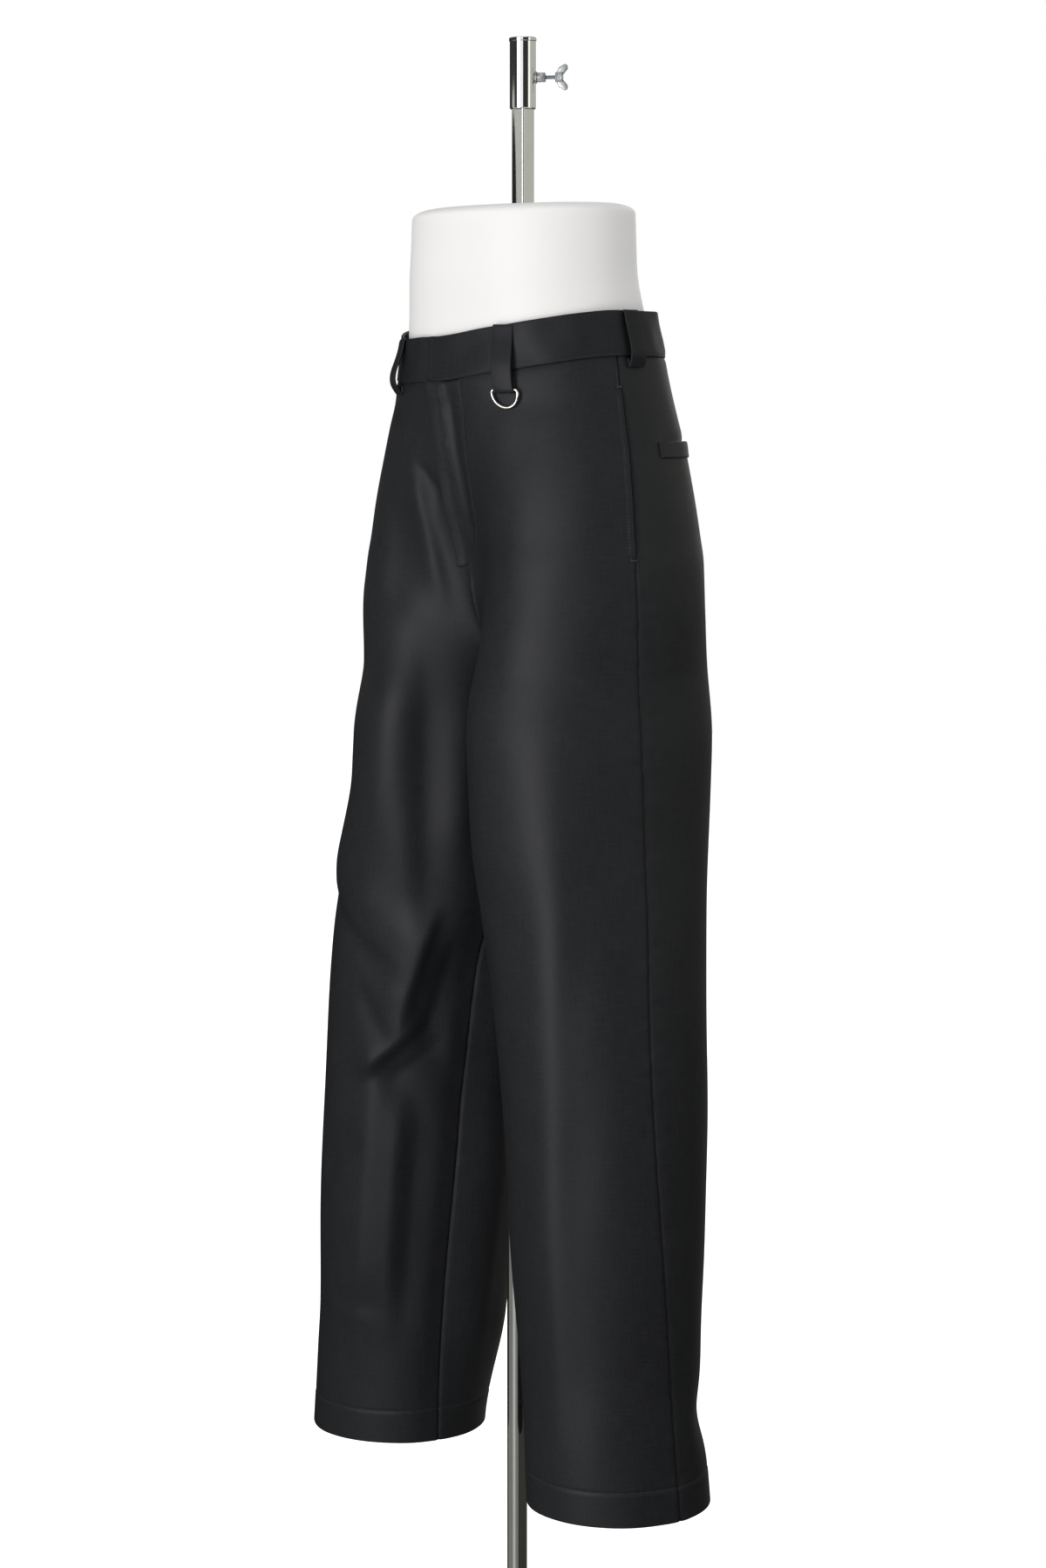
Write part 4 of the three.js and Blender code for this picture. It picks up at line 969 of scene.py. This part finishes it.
def waistband():
    half, start, end = bandTurns()
    section = bandSection()
    perMillimetre = math.degrees(1 / band["meanRadius"])
    nearEnd = np.array([0, 0.12, 0.35, 0.7, 1.2, 2.0, 3.2, 5.0]) * perMillimetre
    columns = 260
    middle = np.linspace(start - nearEnd[-1], end + nearEnd[-1], columns + 1 - 2 * (len(nearEnd) - 1))
    turns = np.concatenate([start - nearEnd[:-1], middle, (end + nearEnd[::-1])[1:]])
    fromEnd = np.minimum(start - turns, turns - end) / perMillimetre
    thin = np.sqrt(np.clip(1 - (1 - np.clip(fromEnd / 1.1, 0, 1)) ** 2, 0.02, 1))
    centre = (band["proud"] - band["inner"]) / 2

    def tabRipple(turn, level):
        return bandRipple(turn, level) * smoothStep((np.abs(turn - end) / perMillimetre - 6) / 30)

    def place(along, down):
        turn = turns[along]
        out, level = section[down].T
        out = centre + (out - centre) * thin[along]
        level = cloth["waistSeam"] + band["gap"] + level
        x = half * np.cos(np.radians(turn))
        lapped = smoothStep((x + band["overlap"] + 2) / band["lapRun"] + 1)
        sunk = np.where(turn > -180, band["lap"] * lapped, 0)
        ripple = tabRipple(turn, level) * np.where(turn > -180, 0.3, 1)
        dent = 0.2 * bell(np.abs(turn - end) / perMillimetre - 3.4, 0.7)
        points, normals = waistPoint(turn, level, out - sunk + ripple - dent)
        return points, normals, np.stack([(start - turn) / perMillimetre, level], axis=1)
    piece = gridPiece("waistbandCloth", columns, len(section) - 1, place, shadedBandTwill, replaced=("waistband",))

    def faceRow(turn, level):
        return waistPoint(turn, level, band["proud"] + tabRipple(turn, level) - 0.05)
    seam = cloth["waistSeam"] + band["gap"]
    around = np.linspace(-150, end + 2.0 * perMillimetre, 500)
    low = faceRow(around, np.full(500, seam + band["stitchLevel"]))
    tabTurn = end + 3.4 * perMillimetre
    tab = faceRow(np.full(20, tabTurn), np.linspace(seam + band["height"] - 1.5, seam + 1, 20))
    return piece, [sewnPiece("bandStitches", [low], "band"), sewnPiece("tabStitches", [tab], "hem")]


# a flat folded strip's section, with a groove under each row of stitches
def stripSection(width, thick):
    half, edge, inset = width / 2, thick / 2, strip["stitchInset"]
    face = [-half + edge, -half + inset - 0.8, -half + inset, -half + inset + 0.8, -half / 3, half / 3,
            half - inset - 0.8, half - inset, half - inset + 0.8, half - edge]
    top = [(side, edge - (strip["groove"] if abs(abs(side) - (half - inset)) < 1e-6 else 0)) for side in face]
    right = [(half - edge + edge * math.sin(turn), edge * math.cos(turn))
             for turn in np.linspace(0, math.pi, 7)[1:-1]]
    bottom = [(half - edge, -edge), (0, -edge), (-half + edge, -edge)]
    left = [(-side, -out) for side, out in right]
    return np.array(top + right + bottom + left + top[:1])


# the way round the waist at a turn, level with the floor
def sidewaysAt(turn, level):
    way = waistPoint(turn + 1, level, 0)[0] - waistPoint(turn - 1, level, 0)[0]
    way[:, 2] = 0
    return unit(way)


def smoothLine(points, count):
    points = np.array(points, dtype=float)
    run = runAlong(points)
    even = np.linspace(0, run[-1], count)
    line = np.stack([np.interp(even, run, points[:, axis]) for axis in range(points.shape[1])], axis=1)
    for turn in range(3):
        line[1:-1] = (line[:-2] + 2 * line[1:-1] + line[2:]) / 4
    return line


# a strip on a path of out and level pairs at one turn of the waist, with its two rows of stitches and its
# tack; below heldBelow it stays where the waist would be without its tilt
def stripOnWaist(name, node, turn, path, sizes, stitched, heldBelow=None):
    width, thick = sizes["width"], sizes["thick"]
    line = smoothLine(path, 64)
    middle = waistPoint(turn, line[:, 1], line[:, 0])[0]
    if heldBelow:
        held = waistPoint(turn, line[:, 1], line[:, 0], ridesUp=False)[0]
        share = smoothStep((line[:, 1] - heldBelow) / 16)[:, None]
        middle = held + (middle - held) * share
    sideways = sidewaysAt(np.full(len(line), float(turn)), line[:, 1])
    piece = sweptPiece(name, middle, sideways, stripSection(width, thick), shadedBandTwill, replaced=(node,))
    outward = unit(np.cross(sideways, unit(np.gradient(middle, axis=0))))
    face = middle + outward * (thick / 2 - 0.05)
    shown = slice(*stitched)
    reach = width / 2 - strip["stitchInset"]
    rows = [((face + sideways * side)[shown], outward[shown]) for side in (reach, -reach)]
    tack = np.argmin(np.abs(middle[:50, 2] - middle[50, 2] - sizes["tackUp"]))
    reach = width / 2 - strip["tackInset"]
    across = sideways[tack] * np.linspace(-reach, reach, 8)[:, None]
    rows.append((middle[tack] + outward[tack] * thick / 2 + across, np.tile(outward[tack], (8, 1))))
    return piece, [sewnPiece(name + "Stitches", rows, "loop")]


def beltLoopPiece(name, turn, node, bow):
    seam = cloth["waistSeam"]
    low, high = seam - beltLoop["drop"], seam + band["gap"] + band["height"]
    half = beltLoop["thick"] / 2
    path = [(band["proud"] - 0.5, high - 0.5), (band["proud"] + 0.5, high - 0.6)]
    for share in np.linspace(0.96, 0, 40):
        seat = band["gap"] + band["proud"] * smoothStep(share * 4) + half
        bowed = bow * math.sin(math.pi * (1 - share) ** 2) ** 0.85
        path.append((seat + bowed + 0.25, mix(low + 1.2, high - 0.4, share)))
    path += [(half + 0.9, low + 0.2), (half + 0.1, low + 0.6), (half - 0.15, low + 2), (half - 0.15, low + 8)]
    return stripOnWaist(name, node, turn, path, beltLoop, (8, 54))


eye = {"out": band["gap"] + ringLoop["thick"] + band["gap"] + dRing["wire"] / 2,
       "level": cloth["waistSeam"] - ringLoop["drop"] + ringLoop["thick"] + band["gap"] + dRing["wire"] / 2}


def ringLoopPiece():
    radius = dRing["wire"] / 2 + band["gap"] + ringLoop["thick"] / 2
    top = cloth["waistSeam"] + band["gap"] + band["height"]
    path = [(band["proud"] - 0.6, top - 0.5), (band["proud"] + 0.3, top - 0.6)]
    for share in np.linspace(0.03, 1, 40):
        out = mix(band["proud"] - 0.1, eye["out"] + radius, smoothStep(share * 1.5 - 0.2))
        path.append((out + ringLoop["bow"] * math.sin(math.pi * share), mix(top, eye["level"], share)))
    for bend in np.linspace(0, 1, 12)[1:] * math.pi:
        path.append((eye["out"] + radius * math.cos(bend), eye["level"] - radius * math.sin(bend)))
    path.append((eye["out"] - radius, cloth["waistSeam"] - ringLoop["backTop"]))
    turn = beltLoop["angles"]["front"]
    return stripOnWaist("ringLoop", "ring_loop", turn, path, ringLoop, (4, 50), eye["level"] + 3)


# a straight bar in the loop's eye, short shoulders and a half ellipse that hangs on the cloth
def dRingPiece():
    turn = beltLoop["angles"]["front"]
    half, drop = (dRing["width"] - dRing["wire"]) / 2, dRing["height"] - dRing["wire"]
    middle = waistPoint(turn, eye["level"], eye["out"], ridesUp=False)[0][0]
    side = sidewaysAt(np.array([float(turn)]), np.array([eye["level"]]))[0]
    foot = waistPoint(turn, eye["level"] - drop, eye["out"] - dRing["lean"], ridesUp=False)[0][0]
    fall = foot - middle
    shape = [(-0.84, 0), (-0.4, 0), (0, 0), (0.4, 0), (0.84, 0), (0.92, 0.018), (0.975, 0.065)]
    for bend in np.linspace(0, math.pi, 31):
        shape.append((math.cos(bend), mix(dRing["shoulder"], 1, math.sin(bend))))
    shape += [(-0.975, 0.065), (-0.92, 0.018), (-0.84, 0)]
    line = np.array([middle + side * half * across + fall * down for across, down in shape])
    normal = unit(np.cross(side, fall)[None, :])
    circle = [(math.sin(t), math.cos(t)) for t in np.linspace(0, 2 * math.pi, 21)]
    section = np.array(circle) * dRing["wire"] / 2
    return sweptPiece("dRing", line, np.repeat(normal, len(line), axis=0), section, nickelPlate,
                      body="d_ring", replaced=("d_ring",), ring=True)


sewnOn["waistband"] = waistband()
angles = beltLoop["angles"]
for name, node, where, turn in (
        ("loopSideLeft", "belt_loop_side_left", "side", angles["side"]),
        ("loopSideRight", "belt_loop_side_right", "side", 180 - angles["side"]),
        ("loopBack", "belt_loop_back", "back", angles["back"]),
        ("loopFrontRight", "belt_loop_front_right", "front", -180 - angles["front"])):
    sewnOn[name] = beltLoopPiece(name, turn, node, beltLoop["bow"][where])
sewnOn["ringLoop"] = ringLoopPiece()
dRingPiece()

print("stage: form and stand")

shapedForm = {"shoulder": 22, "shoulderDrop": 9, "foot": 26, "slope": 0.026, "slopeFrom": 1240, "slopeTo": 1300,
              "footShare": 0.16, "bodyShare": 0.7, "shoulderShare": 0.1}
formRows = np.array([
    [985, 140, 9, 44, 94],
    [1010, 147, 8, 54, 103],
    [1040, 152, 6, 65, 111],
    [1080, 147, 5, 75, 112],
    [1120, 138, 5, 83, 110],
    [1150, 130, 5, 89, 107],
    [1180, 124.5, 4, 91, 101],
    [1200, 121.5, 3, 91, 97.5],
    [1222, 118.5, 2, 91, 94],
    [1250, 115, 0, 90.5, 90],
    [1280, 113.5, 0, 89, 88.5],
    [1313, 112, 0, 88, 88],
], dtype=float)


# the form's skin: rings from its rounded foot to the middle of its top
def formPiece():
    rings, sides = 72, 128
    s = shapedForm
    low, high = formRows[0, 0], formRows[-1, 0]
    footEnd, bodyEnd = s["footShare"], s["footShare"] + s["bodyShare"]

    def place(along, down):
        turn, up = along / sides * 2 * math.pi, 1 - down / rings
        footTurn = np.clip(up / footEnd, 0, 1) * math.pi / 2
        topTurn = np.clip((up - bodyEnd) / s["shoulderShare"], 0, 1) * math.pi / 2
        z = mix(low + s["foot"], high - s["shoulderDrop"], np.clip((up - footEnd) / s["bodyShare"], 0, 1))
        z = np.where(up < footEnd, low + s["foot"] * (1 - np.cos(footTurn)), z)
        z = np.where(up > bodyEnd, high - s["shoulderDrop"] * (1 - np.sin(topTurn)), z)
        inset = np.where(up < footEnd, s["foot"] * (1 - np.sin(footTurn)), 0)
        inset = np.where(up > bodyEnd, s["shoulder"] * (1 - np.cos(topTurn)), inset)
        half, middle, front, back = readTable(formRows, z)
        reach = np.where(np.sin(turn) < 0, front, back)
        closing = np.clip((1 - up) / (1 - bodyEnd - s["shoulderShare"]), 0, 1)
        y = middle + (reach - inset) * np.sin(turn) * closing
        tilt = s["slope"] * y * smoothStep((z - s["slopeFrom"]) / (s["slopeTo"] - s["slopeFrom"]))
        points = np.stack([(half - inset) * np.cos(turn) * closing, y, z + tilt], axis=1)
        return points, points, np.stack([turn, z], axis=1)
    return gridPiece("hipForm", sides, rings, place, shell, replaced=("hip_form",))


formPiece()

stand = {"baseRadius": 170, "baseHeight": 8, "bevel": 2, "socket": 14, "socketTop": 30, "pole": 9.25,
         "poleY": -7, "postWidth": 15, "postCorner": 1.8, "postCrown": 0.16, "postTop": 1438, "gap": 0.3,
         "turn": 5, "collar": 11.7, "collarLow": 1398, "collarHigh": 1460, "rim": 12.3, "rimHeight": 3, "lip": 0.8}


# a profile of radius and height pairs spun about an upright axis at (0, y)
def spunPiece(name, profile, y, material, body, replaced, sides=96, edgeWidth=0.35):
    bm = bmesh.new()
    verts = [bm.verts.new((radius * mm, y * mm, z * mm)) for radius, z in profile]
    edges = [bm.edges.new(pair) for pair in zip(verts[:-1], verts[1:])]
    bmesh.ops.spin(bm, geom=verts + edges, cent=(0, y * mm, 0), axis=(0, 0, 1), angle=2 * math.pi,
                   steps=sides, use_merge=True)
    bmesh.ops.remove_doubles(bm, verts=bm.verts, dist=1e-6)
    bmesh.ops.recalc_face_normals(bm, faces=bm.faces)
    piece = finishPiece(name, bm, material, body, replaced)
    edge = piece.modifiers.new("edge", "BEVEL")
    edge.width = edgeWidth * mm
    edge.segments = 2
    edge.limit_method = "ANGLE"
    edge.angle_limit = math.radians(30)
    edge.harden_normals = True
    return piece


# once round the post: four faces with a slight crown, and four rounded corners
def postOutline():
    half, corner, crown = stand["postWidth"] / 2, stand["postCorner"], stand["postCrown"]
    flat = half - corner
    outline = []
    face = [(half + crown * (1 - (side / flat) ** 2), side) for side in np.linspace(-flat, flat, 13)]
    rounded = [(flat + corner * math.cos(t), flat + corner * math.sin(t))
               for t in np.linspace(0, math.pi / 2, 9)[1:-1]]
    for quarter in range(4):
        outline += [turnedBy(x, y, quarter * math.pi / 2) for x, y in face + rounded]
    return np.array(outline)


def buildStand():
    s = stand
    bore = s["pole"] + s["gap"]
    r, h, rise = s["baseRadius"], s["baseHeight"], s["bevel"]
    formFoot, formTop = formRows[0, 0], formRows[-1, 0]
    spunPiece("basePlate", [
        (0, 0), (r - rise, 0), (r, rise), (r, h - rise), (r - rise, h), (s["socket"] + rise, h),
        (s["socket"], h + rise), (s["socket"], s["socketTop"]), (bore, s["socketTop"]), (bore, h), (0, h)],
        s["poleY"], chromePlate, "stand", ("base_plate",), sides=128)
    poleFoot, poleTop = h + s["gap"], formFoot - s["gap"]
    spunPiece("lowerPole", [(0, poleFoot), (s["pole"], poleFoot), (s["pole"], poleTop), (0, poleTop)],
        s["poleY"], chromePlate, "stand", ("pole",), sides=64)
    diagonal = (s["postWidth"] / 2 - s["postCorner"]) * math.sqrt(2) + s["postCorner"]
    bottom = formTop + s["gap"] + shapedForm["slope"] * diagonal
    outline = postOutline()

    def place(along, down):
        x, y = outline[along % len(outline)].T
        z = mix(s["postTop"], bottom, down / 6)
        points = np.stack([*turnedBy(x, y, math.radians(s["turn"])), z], axis=1)
        return points, points, np.stack([x, z], axis=1)
    post = gridPiece("squarePost", len(outline), 6, place, chromePlate, replaced=("square_post",))
    post.modifiers.new("ends", "EDGE_SPLIT").split_angle = math.radians(60)
    bore = diagonal + s["gap"]
    c, low, high, rim = s["collar"], s["collarLow"], s["collarHigh"], s["rim"]
    spunPiece("collarTube", [
        (bore, low), (c - s["lip"], low), (c, low + s["lip"]), (c, high - s["rimHeight"] - 0.3),
        (rim, high - s["rimHeight"]), (rim, high - 0.6), (rim - 0.5, high), (bore, high), (bore, low)],
        0, chromePlate, "collar", ("collar",), sides=96, edgeWidth=0.2)


buildStand()

nut = {"across": 8, "length": 8, "chamfer": 0.5, "bead": 1.3, "beadRadius": 4.0}
wingScrew = {"z": 1425.5, "turn": 42, "rod": 1.7, "root": 1.42, "pitch": 0.8, "rodLength": 17, "hub": 4.6,
             "hubLength": 6.5, "knurls": 30, "span": 11.5, "flare": 9.4, "wing": 6.6, "thick": 2.4}


# from the screw's own axis, which runs along X, to its place beside the collar
def screwPlace(points):
    x, y, z = points.T
    return np.stack([*turnedBy(x, y, math.radians(wingScrew["turn"])), z + wingScrew["z"]], axis=1)


# rings of a section of radius and length along the screw's axis; radiusAt may vary the radius all round
def axialPiece(name, section, sides, material, body, replaced, radiusAt=None):
    section = np.array(section, dtype=float)

    def place(along, down):
        turn = along / sides * 2 * math.pi
        radius, length = section[down].T
        if radiusAt:
            radius = radiusAt(radius, length, turn)
        points = np.stack([length, radius * np.cos(turn), radius * np.sin(turn)], axis=1)
        return screwPlace(points), points, np.stack([turn, length], axis=1)
    return gridPiece(name, sides, len(section) - 1, place, material, body=body, replaced=replaced)


def buildFixings():
    w, start = wingScrew, stand["collar"] + stand["gap"]
    hole, flat, end = w["rod"] + stand["gap"], nut["across"] / 2, start + nut["length"]

    def hexagon(radius, length, turn):
        corner = np.mod(turn, math.pi / 3) - math.pi / 6
        outer = np.minimum(flat / np.cos(corner), flat * 1.13 - 0.2 * (radius < flat - 0.01))
        return np.where(radius > flat - 1, outer - (flat - radius), radius)
    c = nut["chamfer"]
    axialPiece("collarNut", [
        (hole, start), (flat - c, start), (flat, start + c), (flat, end - c), (flat - c, end), (hole + 0.4, end),
        (hole, end - 0.4), (hole, start)], 96, zincPlate, "collar", ("collar_nut",), hexagon)

    def beadWaves(radius, length, turn):
        return radius + 0.22 * np.sin(7 * turn) * (radius > nut["beadRadius"])
    bead = [(nut["beadRadius"] + nut["bead"] * math.cos(t), start - 0.25 + nut["bead"] * 0.7 * math.sin(t))
            for t in np.linspace(0, 2 * math.pi, 13)]
    axialPiece("weldBead", bead, 56, zincPlate, "collar", (), beadWaves)

    profile = [(0.001, start), (w["root"], start)]
    for turn in range(int(w["rodLength"] / w["pitch"])):
        at = start + 0.2 + turn * w["pitch"]
        profile += [(w[part], at + share * w["pitch"])
                    for part, share in (("root", 0), ("rod", 0.25), ("rod", 0.45), ("root", 0.7))]
    hubFrom = start + w["rodLength"]
    profile += [(w["root"], hubFrom + 1), (0.001, hubFrom + 1)]
    axialPiece("wingScrew", profile, 24, screwSteel, "wing_screw", ("wing_screw",))

    wide, hubTo = w["hub"], hubFrom + w["hubLength"]

    def knurl(radius, length, turn):
        inside = smoothStep((length - hubFrom - 0.8) / 0.4) * smoothStep((hubTo - 0.8 - length) / 0.4)
        return radius - np.where(radius > wide - 0.3, 0.12 * (1 + np.sin(w["knurls"] * turn)) * inside, 0)
    hub = [(0.001, hubFrom), (wide - 0.6, hubFrom), (wide, hubFrom + 0.6)]
    hub += [(wide, hubFrom + step) for step in (0.8, 1.2, 2.4, 3.6, 4.8, 5.3, 5.7)]
    hub += [(wide, hubTo - 0.6), (wide - 0.7, hubTo), (0.001, hubTo)]
    axialPiece("screwHub", hub, 120, zincPlate, "wing_screw", (), knurl)

    span, flare = w["span"], w["flare"]
    outline = [(0.5, wide - 2), (w["hubLength"], wide - 2.6), (flare + 1.5, span - w["wing"] / 2 - 1),
               (flare + 1.2, span - 1), (flare - 1.2, span), (flare - w["wing"], span - 3)]
    for name, up in (("wingUpper", 1), ("wingLower", -1)):
        bm = bmesh.new()
        verts = [bm.verts.new((hubFrom + x, -w["thick"] / 2, y * up)) for x, y in outline]
        made = bmesh.ops.extrude_face_region(bm, geom=[bm.faces.new(verts)])["geom"]
        far = [vert for vert in made if isinstance(vert, bmesh.types.BMVert)]
        bmesh.ops.translate(bm, vec=(0, w["thick"], 0), verts=far)
        bmesh.ops.recalc_face_normals(bm, faces=bm.faces)
        bmesh.ops.bevel(bm, geom=bm.edges[:], offset=0.8, segments=4, profile=0.5, affect="EDGES", material=-1)
        for vert, point in zip(bm.verts, screwPlace(np.array([vert.co for vert in bm.verts])) * mm):
            vert.co = point
        finishPiece(name, bm, zincPlate, "wing_screw")


buildFixings()

for key, (piece, onIt) in sewnOn.items():
    cut, legName = key if isinstance(key, tuple) else ("loop" if key.startswith("loop") else key, None)
